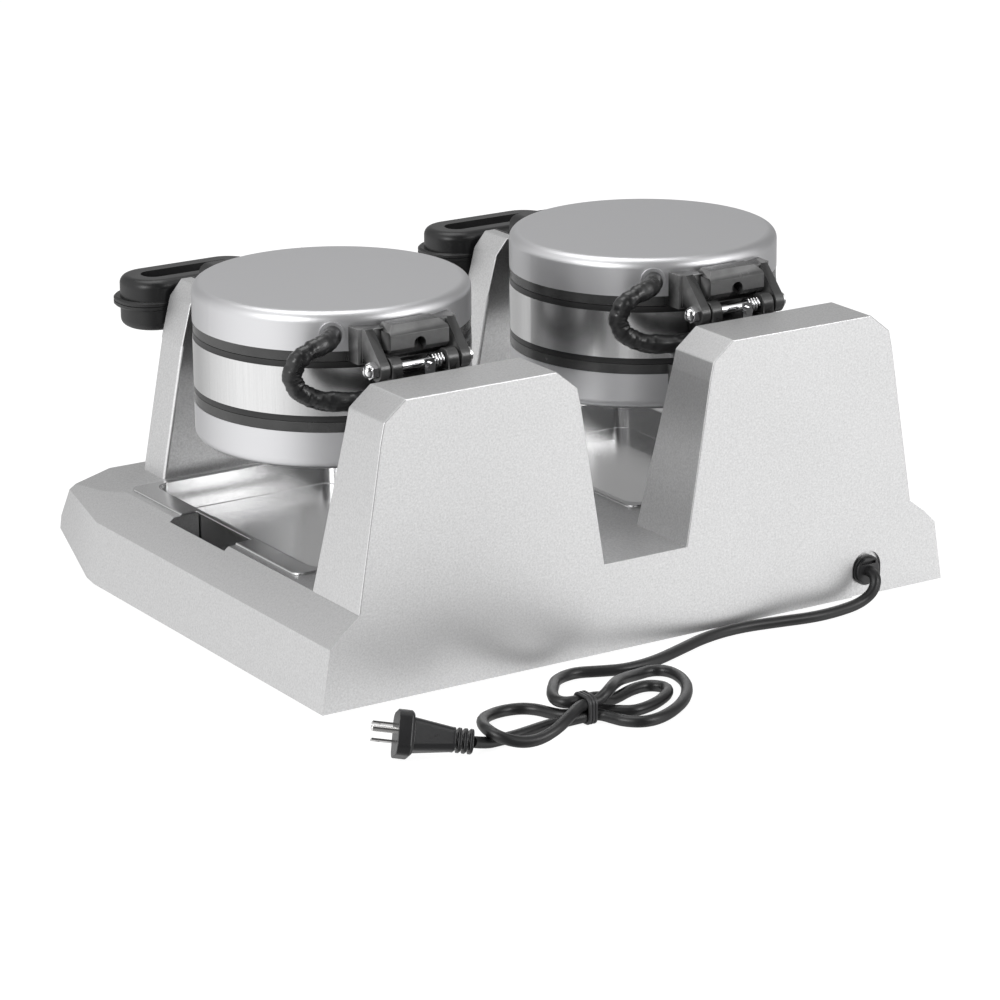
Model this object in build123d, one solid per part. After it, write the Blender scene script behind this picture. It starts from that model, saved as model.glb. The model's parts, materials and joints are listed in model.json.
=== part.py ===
from build123d import *
import math
import os

# A double rotating waffle maker: two round heads, each of two lids round a middle
# section, turn in a base with wide rear towers and narrow front posts.
# Millimetres, +Z up, X is the width, the front faces -Y, the cord leaves at +Y.

# Sheet metal and general fits
SHEET = 2.0
SEAT_GAP = 0.3
PIN_CLEARANCE = 0.05

# Base outline, heights above the underside of the base, depths from the rear panel
FOOT_HEIGHT = 6.0
BASE_HEIGHT = 72.0
BEND_HEIGHT = 49.7
STRIP_HEIGHT = 60.5
BASE_HALF_WIDTH = 291.0
BEND_HALF_WIDTH = 283.0
STRIP_HALF_WIDTH = 272.0
TOP_HALF_WIDTH = 257.0
SIDE_DEPTH = 372.0
TOP_SIDE_DEPTH = 372.0
TOP_FRONT_DEPTH = 443.0
TOP_FRONT_HALF_WIDTH = 237.0
NOSE_DEPTH = 466.0
NOSE_HALF_WIDTH = 272.0
NOSE_TOP = 31.0
NOSE_BOTTOM = 20.0
UNDERSIDE_DEPTH = 390.0
CORNER_HALF_WIDTH = 266.0
CORNER_DEPTH = 447.0
CORNER_HEIGHT = 62.0

# Rubber feet
FOOT_RADIUS = 11.0
FOOT_INSET = 52.0
FOOT_FRONT_DEPTH = 352.0

# Places of the two heads
HEAD_SPACING = 296.0
HEAD_DEPTH = 222.0
AXIS_HEIGHT = 206.0

# Rear towers, half widths at four heights
TOWER_FOOT_HALF_WIDTH = 109.7
TOWER_SEAM_HALF_WIDTH = 88.4
TOWER_SHOULDER_HALF_WIDTH = 85.1
TOWER_TOP_HALF_WIDTH = 66.3
TOWER_SEAM_HEIGHT = 202.3
TOWER_SHOULDER_HEIGHT = 217.0
TOWER_TOP_HEIGHT = 232.2
TOWER_FOOT_DEPTH = 69.7
TOWER_TOP_DEPTH = 51.9

# Front posts, half widths at four heights
POST_FOOT_HALF_WIDTH = 67.0
POST_SEAM_HALF_WIDTH = 46.0
POST_SHOULDER_HALF_WIDTH = 37.0
POST_TOP_HALF_WIDTH = 26.0
POST_SEAM_HEIGHT = 182.0
POST_SHOULDER_HEIGHT = 216.0
POST_TOP_HEIGHT = 229.0
POST_REAR_DEPTH = 389.0
POST_THICKNESS = 36.0

# Round head, heights from its turning axis
HEAD_RADIUS = 110.0
BAND_WALL = 2.5
BAND_HALF_HEIGHT = 19.0
PARTING_HEIGHT = 24.0
PARTING_GAP = 0.4
RING_HEIGHT = 32.2
LID_HEIGHT = 62.6
LID_WALL = 2.0
LID_EDGE_RADIUS = 8.0
BLACK_RING_RADIUS = 109.6
RING_BORE_RADIUS = 100.0
GRID_RADIUS = 107.0
MIDDLE_GRID_HEIGHT = 14.0
LID_GRID_HEIGHT = 34.0
GRID_THICKNESS = 4.0
STUD_SIZE = 9.0
STUD_PITCH = 16.0
STUD_HEIGHT = 6.0
STUD_TAPER = 12.0
STUD_FIELD_RADIUS = 92.0
ELEMENT_RING_RADIUS = 62.0
ELEMENT_RADIUS = 4.0
MIDDLE_HEATER_RADIUS = 98.0

# Lid hinge, in line with the parting plane
HINGE_SETBACK = 24.0
HINGE_PIN_RADIUS = 4.0
ARM_INNER = 32.0
ARM_THICKNESS = 8.0
ARM_KNUCKLE_RADIUS = 9.0
LUG_INNER = 20.0
LUG_THICKNESS = 10.0
LUG_RADIUS = 8.5
BRIDGE_HALF_WIDTH = 26.0
BRIDGE_FOOT = 33.0
BRIDGE_TOP = 55.0
BRIDGE_HOLE_RADIUS = 5.0
BRIDGE_HOLE_DEPTH = 12.0
BACK_PLATE_HALF_WIDTH = 44.0
BACK_PLATE_THICKNESS = 5.0
HUB_HALF_WIDTH = 22.0
HUB_HALF_HEIGHT = 16.0
HUB_LENGTH = 40.0
NUT_ACROSS_FLATS = 12.0
SPRING_MEAN_RADIUS = 5.7
SPRING_WIRE_RADIUS = 0.9
SPRING_TURNS = 4
SPRING_PITCH = 2.7
SPRING_START = -17.5
TAB_WIDTH = 9.0
TAB_START = -TAB_WIDTH / 2

# Rear shaft and its bearing
SHAFT_RADIUS = 10.0
SHAFT_BORE_RADIUS = 6.0
SHAFT_FLANGE_RADIUS = 15.0
SHAFT_FLANGE_LENGTH = 5.0
BEARING_RADIUS = 24.0
BEARING_LENGTH = 22.0
COLLAR_RADIUS = 15.0
COLLAR_LENGTH = 6.0

# Front trunnion, handle stems and the cradle they turn in
TRUNNION_RADIUS = 6.0
STEM_RADIUS = 13.0
STEM_PLAY = 0.4
CRADLE_WALL = 2.4
CRADLE_DROP = 3.2
CRADLE_FLANGE = 1.0
CRADLE_FLANGE_WIDTH = 3.0

# Handles
PLATE_HALF_WIDTH = 52.0
PLATE_THICKNESS = 14.0
PLATE_TOP = 56.0
GRIP_HALF_WIDTH = 62.0
GRIP_DEPTH = 56.0
GRIP_HEIGHT = 21.5
GRIP_CORNER_RADIUS = 27.0
GRIP_NEAR_BAR = 16.0
GRIP_FAR_BAR = 18.0
GRIP_SIDE_BAR = 17.0
GRIP_LIP = 4.0
GRIP_LIP_HEIGHT = 4.0
GRIP_CLEARANCE = 5.0
HANDLE_SPLIT_GAP = 0.6

# Sleeved lid cable, from a boss in the lid's wall to the hub
CABLE_RADIUS = 7.5
CABLE_BOSS_RADIUS = 10.0
CABLE_BOSS_LENGTH = 3.0
CABLE_BOSS_ANGLE = 60.0
CABLE_BOSS_HEIGHT = 46.0

# Drip trays
TRAY_HALF_WIDTH = 86.0
TRAY_REAR_DEPTH = 111.0
TRAY_FRONT_DEPTH = 375.0
TRAY_CORNER_RADIUS = 14.0
TRAY_PAN_DEPTH = 24.0
TRAY_WALL = 1.5
TRAY_RIM_WIDTH = 5.0
TRAY_OUTER_RIM_WIDTH = 17.0
TRAY_RIM_HEIGHT = 2.0
TRAY_CLEARANCE = 1.0
PLATEAU_INSET = 36.0
PLATEAU_HEIGHT = 2.5
SCOOP_WIDTH = 27.0
SCOOP_REAR_DEPTH = 202.0
SCOOP_FRONT_DEPTH = 292.0
WELL_DEPTH = 32.0

# Front controls, offsets from the middle of each head
KNOB_OFFSET = -40.0
KNOB_RADIUS = 16.0
KNOB_HEIGHT = 16.0
KNOB_GAP = 1.0
KNOB_SPINDLE_RADIUS = 3.0
SWITCH_OFFSET = 45.0
SWITCH_WIDTH = 20.0
SWITCH_LENGTH = 26.0
SWITCH_DEPTH = 14.0
SWITCH_TILT = 10.0
LIGHT_OFFSETS = (-4.0, 14.0)
LIGHT_RADIUS = 5.0
PANEL_THICKNESS = 1.5
PANEL_MARGIN = 4.0
PANEL_HALF_WIDTH = 222.0
THERMOSTAT_RADIUS = 15.0
THERMOSTAT_LENGTH = 26.0

# Power cord
CORD_RADIUS = 4.5
NOTCH_X = -214.5
NOTCH_HALF_WIDTH = 14.0
NOTCH_HEIGHT = 37.0
RELIEF_RADIUS = 11.0
RELIEF_HEIGHT = 21.0
RELIEF_REACH = 3.0
PLUG_RIB_LENGTH = 16.0
PLUG_RIB_COUNT = 4
PLUG_RIB_WIDTH = 2.6
PLUG_NECK = (15.0, 18.0)
PLUG_BODY = (22.0, 25.0)
PLUG_BODY_END = 45.0
PLUG_FLANGE = (28.0, 34.0)
PLUG_END = 57.0
PLUG_ROLL = 30.0
PLUG_AXIS = (46, -21, 9)
BLADE_LENGTH = 17.5
BLADE_WIDTH = 6.3
BLADE_THICKNESS = 1.5
BLADE_SPACING = 12.7
GROUND_PIN_RADIUS = 2.4
GROUND_PIN_LENGTH = 20.0
GROUND_PIN_OFFSET = 11.9
STRAND_PITCH = 9.5
TIE_PLAY = 0.2
TIE_WALL = 1.3
TIE_RIB = 0.7
TIE_LENGTH = 8.0
TIE_X = 126.0
TIE_Y = 105.0

# Cord routes in the base's frame. LAID is the centre height of the cord on the floor;
# four strands pass through the tie, two above two, FRONT and BACK of its middle.
LAID = -FOOT_HEIGHT + CORD_RADIUS + 0.2
LOW = -FOOT_HEIGHT + CORD_RADIUS + TIE_WALL + TIE_PLAY + 0.1
HIGH = LOW + STRAND_PITCH
FRONT = TIE_Y + STRAND_PITCH / 2
BACK = TIE_Y - STRAND_PITCH / 2
LEAD_POINTS = [
    (NOTCH_X, RELIEF_REACH, RELIEF_HEIGHT),
    (NOTCH_X, RELIEF_REACH + 10, RELIEF_HEIGHT),
    (-210, 17, 9),
    (-198, 16, 1),
    (-179, 17, LAID),
    (-150, 19, LAID),
    (-118, 12, LAID),
    (-84, 6, LAID),
    (-50, 10, LAID),
    (-16, 23, LAID),
    (15, 34.5, LAID),
    (43, 37.5, LAID),
    (63, 30, LAID),
    (79, 22.5, LAID),
]
HANK_POINTS = [
    (79, 22.5, LAID),
    (93, 24, LAID),
    (107, 34, 0.5),
    (119, 51, 4.5),
    (130, 66, 8),
    (138.5, 79, HIGH),
    (143, 90, HIGH),
    (140.5, 98, HIGH),
    (133, BACK, HIGH),
    (119.5, BACK, HIGH),
    (111, 99, 8.6),
    (104, 96, 4.8),
    (97, 92, 0.8),
    (85, 86, LAID),
    (66, 77, LAID),
    (50, 76, LAID),
    (41, 87, LAID),
    (47, 99, LAID),
    (63, 110, LAID),
    (79, 116, LAID),
    (91, 117, LAID),
    (101, 110, LAID),
    (110, 102.5, -1),
    (119.5, BACK, LOW),
    (132.5, BACK, LOW),
    (140.5, 96, -0.9),
    (145, 86, LAID),
    (149, 74, LAID),
    (158, 65, LAID),
    (173, 62, LAID),
    (189, 68, 0),
    (203, 83, 4),
    (213, 100, 8),
    (218, 114, 9.2),
    (214, 126, 6),
    (200, 132, 1),
    (185, 134, 1),
    (169, 132, 5),
    (153, 124, 9),
    (142, 115.5, HIGH),
    (132.5, FRONT, HIGH),
    (119.5, FRONT, HIGH),
    (111, 109, 13.8),
    (104, 104.5, 15.4),
    (96, 97, 14.6),
    (86, 86.5, 11.6),
    (76, 76, 8),
    (62, 64, 3.5),
    (43, 52, LAID),
    (29, 50, LAID),
    (19, 58, LAID),
    (19, 75, LAID),
    (27, 96, LAID),
    (45, 118, LAID),
    (66, 133, LAID),
    (85, 141, LAID),
    (99, 140, LAID),
    (108.5, 131, LAID),
    (112, 121, LAID),
    (115.5, 113, -0.6),
    (121, FRONT, LOW),
    (132.5, FRONT, LOW),
    (146, 108, -0.8),
    (162, 107, LAID),
    (178, 110, LAID),
    (193, 112.5, LAID),
    (207, 113, LAID),
    (220, 114.5, LAID + 0.6),
    (234, 119, 4.8),
]

# Derived places
SIDES = {"right": 1, "left": -1}
GRIP_NEAR_DEPTH = POST_REAR_DEPTH + POST_THICKNESS + GRIP_CLEARANCE
REAR_Y = (GRIP_NEAR_DEPTH + GRIP_DEPTH + GRIP_LIP) / 2
AXIS_Z = FOOT_HEIGHT + AXIS_HEIGHT
HEAD_Y = REAR_Y - HEAD_DEPTH
PIN_Y = HEAD_RADIUS + HINGE_SETBACK
TOWER_FACE_Y = HEAD_DEPTH - TOWER_TOP_DEPTH
POST_REAR_Y = HEAD_DEPTH - POST_REAR_DEPTH
POST_FRONT_Y = POST_REAR_Y - POST_THICKNESS
GRIP_NEAR_Y = HEAD_DEPTH - GRIP_NEAR_DEPTH
HUB_END_Y = HEAD_RADIUS + HUB_LENGTH


def box(x0, x1, y0, y1, z0, z1):
    """A block between two corners."""
    size = (abs(x1 - x0), abs(y1 - y0), abs(z1 - z0))
    return Pos((x0 + x1) / 2, (y0 + y1) / 2, (z0 + z1) / 2) * Box(*size)


def rod_x(x0, x1, y, z, radius):
    """A round bar along X."""
    return Pos((x0 + x1) / 2, y, z) * Rot(0, 90, 0) * Cylinder(radius, abs(x1 - x0))


def rod_y(y0, y1, x, z, radius):
    """A round bar along Y."""
    return Pos(x, (y0 + y1) / 2, z) * Rot(90, 0, 0) * Cylinder(radius, abs(y1 - y0))


def rod_z(z0, z1, x, y, radius):
    """A round bar along Z."""
    return Pos(x, y, (z0 + z1) / 2) * Cylinder(radius, abs(z1 - z0))


def ring_z(z0, z1, bore, radius):
    """A flat ring about the Z axis."""
    return rod_z(z0, z1, 0, 0, radius) - rod_z(z0 - 1, z1 + 1, 0, 0, bore)


def prism_x(points, x0, x1):
    """A block with its outline in the YZ plane, from x0 to x1."""
    outline = Plane.YZ * make_face(Polyline(*points, close=True))
    return Pos(x0, 0, 0) * extrude(outline, x1 - x0, dir=(1, 0, 0))


def clip(body, a, b, c, inset, inside):
    """Cuts the body by the plane through three points, moved in by inset."""
    a, b, c, inside = Vector(*a), Vector(*b), Vector(*c), Vector(*inside)
    normal = (b - a).cross(c - a).normalized()
    if normal.dot(inside - a) > 0:
        normal = normal * -1
    plane = Plane(origin=a - normal * inset, z_dir=normal)
    return split(body, bisect_by=plane, keep=Keep.BOTTOM)


def save(name, shape):
    """Writes one piece to its STEP file."""
    solids = shape.solids()
    export_step(Compound(children=list(solids)) if len(solids) > 1 else solids[0], f"parts/{name}.step")


def to_world(shape):
    """Moves a shape from the base's frame, rear panel at y = 0, to the part's frame."""
    return Pos(0, REAR_Y, FOOT_HEIGHT) * shape


def to_head(shape, side):
    """Moves a shape from a head's own frame to the part's frame."""
    return Pos(side * HEAD_SPACING / 2, HEAD_Y, AXIS_Z) * shape


# Base

def base_body(inset):
    """The faceted solid of the base, with every face moved in by inset."""
    inside = (0, -HEAD_DEPTH, BASE_HEIGHT / 2)
    reach = BASE_HALF_WIDTH
    body = box(-reach + inset, reach - inset, -NOSE_DEPTH + inset, -inset, 0, BASE_HEIGHT - inset)
    body = clip(
        body,
        (0, -TOP_FRONT_DEPTH, BASE_HEIGHT),
        (1, -TOP_FRONT_DEPTH, BASE_HEIGHT),
        (0, -NOSE_DEPTH, NOSE_TOP),
        inset,
        inside,
    )
    body = clip(body, (0, -NOSE_DEPTH, NOSE_BOTTOM), (1, -NOSE_DEPTH, NOSE_BOTTOM), (0, -UNDERSIDE_DEPTH, 0), inset, inside)
    for side in SIDES.values():
        bottom = (side * BASE_HALF_WIDTH, -SIDE_DEPTH, 0)
        bend = (side * BEND_HALF_WIDTH, -SIDE_DEPTH - 7, BEND_HEIGHT)
        strip = (side * STRIP_HALF_WIDTH, -SIDE_DEPTH - 6, STRIP_HEIGHT)
        top = (side * TOP_HALF_WIDTH, -TOP_SIDE_DEPTH, BASE_HEIGHT)
        corner = (side * CORNER_HALF_WIDTH, -CORNER_DEPTH, CORNER_HEIGHT)
        edges = ((bottom, bend), (bend, strip), (strip, top))
        for low, high in edges:
            body = clip(body, low, (low[0], 0, low[2]), (high[0], low[1], high[2]), inset, inside)
        body = clip(body, bottom, bend, (side * NOSE_HALF_WIDTH, -NOSE_DEPTH, NOSE_TOP), inset, inside)
        body = clip(body, bend, strip, corner, inset, inside)
        body = clip(body, top, (side * TOP_FRONT_HALF_WIDTH, -TOP_FRONT_DEPTH, BASE_HEIGHT), corner, inset, inside)
    return body


def scoop(margin, floor, side):
    """The finger scoop at the outer side of one tray, widened by margin."""
    x0 = side * (HEAD_SPACING / 2 + TRAY_HALF_WIDTH - 1)
    x1 = side * (HEAD_SPACING / 2 + TRAY_HALF_WIDTH + SCOOP_WIDTH + margin)
    return box(x0, x1, -SCOOP_FRONT_DEPTH - margin, -SCOOP_REAR_DEPTH + margin, floor, BASE_HEIGHT + 5)


def well(margin, floor, side):
    """The space that one tray hangs in, widened by margin."""
    half_x = TRAY_HALF_WIDTH + TRAY_CLEARANCE + margin
    x = side * HEAD_SPACING / 2
    y0 = -TRAY_FRONT_DEPTH - TRAY_CLEARANCE - margin
    y1 = -TRAY_REAR_DEPTH + TRAY_CLEARANCE + margin
    block = box(x - half_x, x + half_x, y0, y1, floor, BASE_HEIGHT + 5)
    return fillet(block.edges().filter_by(Axis.Z), TRAY_CORNER_RADIUS + margin) + scoop(margin, floor, side)


def make_base_shell():
    """Bent sheet base with the tray wells, the cord notch and the control openings."""
    outer = base_body(0)
    shell = outer - base_body(SHEET)
    floor = BASE_HEIGHT - WELL_DEPTH
    for side in SIDES.values():
        shell += well(SHEET, floor - SHEET, side) & outer
    for side in SIDES.values():
        shell -= well(0, floor, side)
    shell -= notch(NOTCH_HALF_WIDTH)
    for side in SIDES.values():
        shell -= on_panel(side * HEAD_SPACING / 2, panel_cutters())
    return shell


def notch(half_width):
    """The U-shaped opening in the rear panel that the cord leaves by."""
    middle = NOTCH_HEIGHT - half_width
    arch = rod_y(-SHEET - 0.2, 1, NOTCH_X, middle, half_width)
    return arch + box(NOTCH_X - half_width, NOTCH_X + half_width, -SHEET - 0.2, 1, -1, middle)


def make_bottom_plate():
    """Flat plate that closes the base from below, with an upturned tab behind the cord notch."""
    inset = SHEET + SEAT_GAP
    plate = base_body(inset) & box(-400, 400, -500, 10, 0, SHEET)
    half_width = NOTCH_HALF_WIDTH + 6
    tab = box(NOTCH_X - half_width, NOTCH_X + half_width, -inset - SHEET, -inset, 0, NOTCH_HEIGHT + 6)
    return plate + tab - rod_y(-20, 0, NOTCH_X, RELIEF_HEIGHT, RELIEF_RADIUS + PIN_CLEARANCE)


def make_feet():
    """Six rubber feet under the bottom plate."""
    depths = (FOOT_INSET, (FOOT_INSET + FOOT_FRONT_DEPTH) / 2, FOOT_FRONT_DEPTH)
    feet = []
    for side in SIDES.values():
        for depth in depths:
            x = side * (BASE_HALF_WIDTH - FOOT_INSET)
            foot = rod_z(-FOOT_HEIGHT, 0, x, -depth, FOOT_RADIUS)
            feet.append(chamfer(foot.edges().group_by(Axis.Z)[0], 1.5))
    return Compound(children=feet)


# Rear towers

def tower_body(inset):
    """The solid of one rear tower, with every face but the foot moved in by inset."""
    inside = (0, -TOWER_TOP_DEPTH / 2, BASE_HEIGHT + 50)
    half = TOWER_FOOT_HALF_WIDTH
    body = box(-half, half, -TOWER_FOOT_DEPTH, -inset, BASE_HEIGHT, TOWER_TOP_HEIGHT - inset)
    levels = (
        (TOWER_FOOT_HALF_WIDTH, BASE_HEIGHT),
        (TOWER_SEAM_HALF_WIDTH, TOWER_SEAM_HEIGHT),
        (TOWER_SHOULDER_HALF_WIDTH, TOWER_SHOULDER_HEIGHT),
        (TOWER_TOP_HALF_WIDTH, TOWER_TOP_HEIGHT),
    )
    for side in SIDES.values():
        for (x0, z0), (x1, z1) in zip(levels, levels[1:]):
            body = clip(body, (side * x0, 0, z0), (side * x0, -1, z0), (side * x1, 0, z1), inset, inside)
    lean = (0, -TOWER_FOOT_DEPTH, BASE_HEIGHT), (1, -TOWER_FOOT_DEPTH, BASE_HEIGHT), (0, -TOWER_TOP_DEPTH, TOWER_SEAM_HEIGHT)
    face = (0, -TOWER_TOP_DEPTH, BASE_HEIGHT), (1, -TOWER_TOP_DEPTH, BASE_HEIGHT), (0, -TOWER_TOP_DEPTH, TOWER_TOP_HEIGHT)
    above = clip(body, *face, inset, inside) & box(-200, 200, -100, 10, TOWER_SEAM_HEIGHT, 400)
    below = clip(body, *lean, inset, inside) & box(-200, 200, -100, 10, BASE_HEIGHT, TOWER_SEAM_HEIGHT)
    return below, above


def make_tower():
    """One tower: the lower shell and the cap that lifts off at the seam."""
    outer_low, outer_cap = tower_body(0)
    inner_low, inner_cap = tower_body(SHEET)
    bore = rod_y(-TOWER_FOOT_DEPTH, -TOWER_TOP_DEPTH / 2, 0, AXIS_HEIGHT, SHAFT_RADIUS + 1.5)
    return outer_low - inner_low - bore, outer_cap - inner_cap - bore


def make_bearing():
    """Bearing housing on the inside of the tower's front wall, in a head's frame."""
    start = TOWER_FACE_Y + SHEET + PIN_CLEARANCE
    housing = rod_y(start, start + BEARING_LENGTH, 0, 0, BEARING_RADIUS)
    housing = chamfer(housing.edges().group_by(Axis.Y)[-1], 3)
    return housing - rod_y(start - 1, start + BEARING_LENGTH + 1, 0, 0, SHAFT_RADIUS + PIN_CLEARANCE)


# Front posts

def post_body(inset):
    """The solid of one front post, with every face but the foot moved in by inset."""
    inside = (0, -POST_REAR_DEPTH - POST_THICKNESS / 2, BASE_HEIGHT + 50)
    half = POST_FOOT_HALF_WIDTH
    y0 = -POST_REAR_DEPTH - POST_THICKNESS + inset
    body = box(-half, half, y0, -POST_REAR_DEPTH - inset, BASE_HEIGHT, POST_TOP_HEIGHT - inset)
    levels = (
        (POST_FOOT_HALF_WIDTH, BASE_HEIGHT),
        (POST_SEAM_HALF_WIDTH, POST_SEAM_HEIGHT),
        (POST_SHOULDER_HALF_WIDTH, POST_SHOULDER_HEIGHT),
        (POST_TOP_HALF_WIDTH, POST_TOP_HEIGHT),
    )
    for side in SIDES.values():
        for (x0, z0), (x1, z1) in zip(levels, levels[1:]):
            body = clip(body, (side * x0, 0, z0), (side * x0, -1, z0), (side * x1, 0, z1), inset, inside)
    return body


def cradle_slot(radius, y0, y1):
    """A slot open at the top with a round bottom, in the base's frame."""
    bottom = AXIS_HEIGHT - CRADLE_DROP
    return rod_y(y0, y1, 0, bottom, radius) + box(-radius, radius, y0, y1, bottom, POST_TOP_HEIGHT + 5)


def make_post():
    """One front post: the lower shell, the slotted cap and the cradle liner in its slot."""
    outer = post_body(0)
    inner = post_body(SHEET)
    below = box(-200, 200, -500, 0, BASE_HEIGHT, POST_SEAM_HEIGHT)
    above = box(-200, 200, -500, 0, POST_SEAM_HEIGHT, 400)
    y0 = -POST_REAR_DEPTH - POST_THICKNESS
    y1 = -POST_REAR_DEPTH
    liner_bore = STEM_RADIUS + STEM_PLAY
    liner_outer = liner_bore + CRADLE_WALL
    cap = ((outer - inner) & above) - cradle_slot(liner_outer, y0 - 1, y1 + 1)
    liner = cradle_slot(liner_outer, y0, y1)
    for start, end in ((y0 - CRADLE_FLANGE, y0), (y1, y1 + CRADLE_FLANGE)):
        liner += cradle_slot(liner_outer + CRADLE_FLANGE_WIDTH, start, end) & post_profile(start, end)
    liner &= box(-200, 200, y0 - 5, y1 + 5, 0, POST_TOP_HEIGHT)
    liner -= cradle_slot(liner_bore, y0 - 5, y1 + 5)
    return (outer - inner) & below, cap, liner


def post_profile(y0, y1):
    """The front outline of a post between two depths."""
    points = [
        (POST_FOOT_HALF_WIDTH, BASE_HEIGHT),
        (POST_SEAM_HALF_WIDTH, POST_SEAM_HEIGHT),
        (POST_SHOULDER_HALF_WIDTH, POST_SHOULDER_HEIGHT),
        (POST_TOP_HALF_WIDTH, POST_TOP_HEIGHT),
    ]
    outline = points + [(-x, z) for x, z in reversed(points)]
    wire = Polyline(*[(x, y0, z) for x, z in outline], close=True)
    return extrude(make_face(wire), y1 - y0, dir=(0, 1, 0))


# Front controls

def panel_plane(x):
    """The sloping front face at x: its own Z points out of the face."""
    a = Vector(0, -TOP_FRONT_DEPTH, BASE_HEIGHT)
    b = Vector(0, -NOSE_DEPTH, NOSE_TOP)
    middle = (a + b) * 0.5
    up = (a - b).normalized()
    normal = Vector(1, 0, 0).cross(up)
    return Plane(origin=(x, middle.Y, middle.Z), x_dir=(1, 0, 0), z_dir=normal)


def on_panel(x, shape):
    """Places a shape made at the origin on the sloping front face."""
    return panel_plane(x).location * shape


def panel_cutters():
    """What is cut through the front face for one head's controls."""
    cutters = rod_z(-9, 9, KNOB_OFFSET, 0, KNOB_SPINDLE_RADIUS + 1)
    for offset in LIGHT_OFFSETS:
        cutters += rod_z(-9, 9, offset, 0, LIGHT_RADIUS - 1)
    half_width = SWITCH_WIDTH / 2 + SEAT_GAP
    half_length = SWITCH_LENGTH / 2 + SEAT_GAP
    cutters += box(SWITCH_OFFSET - half_width, SWITCH_OFFSET + half_width, -half_length, half_length, -9, 9)
    return cutters


def make_control_panel():
    """Thin facia plate on the sloping front face."""
    height = math.dist((TOP_FRONT_DEPTH, BASE_HEIGHT), (NOSE_DEPTH, NOSE_TOP)) - 2 * PANEL_MARGIN
    plate = box(-PANEL_HALF_WIDTH, PANEL_HALF_WIDTH, -height / 2, height / 2, 0, PANEL_THICKNESS)
    plate = fillet(plate.edges().filter_by(Axis.Z), 5)
    for side in SIDES.values():
        plate -= Pos(side * HEAD_SPACING / 2, 0, 0) * panel_cutters()
    return on_panel(0, plate)


def make_knob():
    """Round dial with finger flutes and a pointer ridge, on its spindle."""
    floor = PANEL_THICKNESS + KNOB_GAP
    knob = rod_z(floor, floor + 4, 0, 0, KNOB_RADIUS)
    grip = rod_z(floor + 4, floor + KNOB_HEIGHT, 0, 0, KNOB_RADIUS - 3)
    grip = chamfer(grip.edges().group_by(Axis.Z)[-1], 1.5)
    for turn in range(12):
        flute = Rot(0, 0, turn * 30 + 15) * rod_z(floor + 4, floor + KNOB_HEIGHT + 1, KNOB_RADIUS - 1.5, 0, 2.5)
        grip -= flute
    pointer = box(-1.5, 1.5, 2, KNOB_RADIUS - 2, floor + 3, floor + KNOB_HEIGHT + 1)
    spindle = rod_z(-SHEET - SEAT_GAP, floor, 0, 0, KNOB_SPINDLE_RADIUS)
    return on_panel(0, Pos(KNOB_OFFSET, 0, 0) * (knob + grip + pointer + spindle))


def make_switch():
    """Rocker with a bowed face, tipped to off, that turns about its own middle."""
    half_width = SWITCH_WIDTH / 2 - 3
    half_length = SWITCH_LENGTH / 2 - 4
    points = [(-half_length, -2), (half_length, -2), (half_length, 3), (0, 1.2), (-half_length, 3)]
    rocker = prism_x(points, -half_width, half_width)
    return on_panel(0, Pos(SWITCH_OFFSET, 0, PANEL_THICKNESS + 1) * Rot(SWITCH_TILT, 0, 0) * rocker)


def make_switch_frames():
    """The two fixed switch bodies that the rockers sit in."""
    frames = []
    for side in SIDES.values():
        half_width = SWITCH_WIDTH / 2
        half_length = SWITCH_LENGTH / 2
        frame = box(-half_width, half_width, -half_length, half_length, -SWITCH_DEPTH, PANEL_THICKNESS)
        frame += box(-half_width - 2, half_width + 2, -half_length - 2, half_length + 2, PANEL_THICKNESS, PANEL_THICKNESS + 1.5)
        frame -= box(-half_width + 2.4, half_width - 2.4, -half_length + 2.6, half_length - 2.6, -5, 9)
        frames.append(on_panel(side * HEAD_SPACING / 2, Pos(SWITCH_OFFSET, 0, 0) * frame))
    return Compound(children=frames)


def make_lights():
    """Two round indicator lenses for each head."""
    lenses = []
    for side in SIDES.values():
        for offset in LIGHT_OFFSETS:
            lens = rod_z(PANEL_THICKNESS, PANEL_THICKNESS + 3.5, offset, 0, LIGHT_RADIUS)
            lens = fillet(lens.edges().group_by(Axis.Z)[-1], 2)
            lens += rod_z(-8, PANEL_THICKNESS, offset, 0, LIGHT_RADIUS - 1 - SEAT_GAP / 2)
            lenses.append(on_panel(side * HEAD_SPACING / 2, lens))
    return Compound(children=lenses)


def make_thermostats():
    """The two thermostats behind the dials, held to the inside of the front face."""
    bodies = []
    for side in SIDES.values():
        body = rod_z(-SHEET - THERMOSTAT_LENGTH, -SHEET, KNOB_OFFSET, 0, THERMOSTAT_RADIUS)
        body -= rod_z(-SHEET - 2, 0, KNOB_OFFSET, 0, KNOB_SPINDLE_RADIUS + 1)
        bodies.append(on_panel(side * HEAD_SPACING / 2, body))
    return Compound(children=bodies)


# Drip trays

def tray_outline(inset, x, half_x=TRAY_HALF_WIDTH):
    """Rounded rectangle of a tray's pan, moved in by inset."""
    length = TRAY_FRONT_DEPTH - TRAY_REAR_DEPTH - 2 * inset
    middle = -(TRAY_FRONT_DEPTH + TRAY_REAR_DEPTH) / 2
    return Pos(x, middle) * RectangleRounded(2 * (half_x - inset), length, max(TRAY_CORNER_RADIUS - inset / 2, 3))


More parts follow.
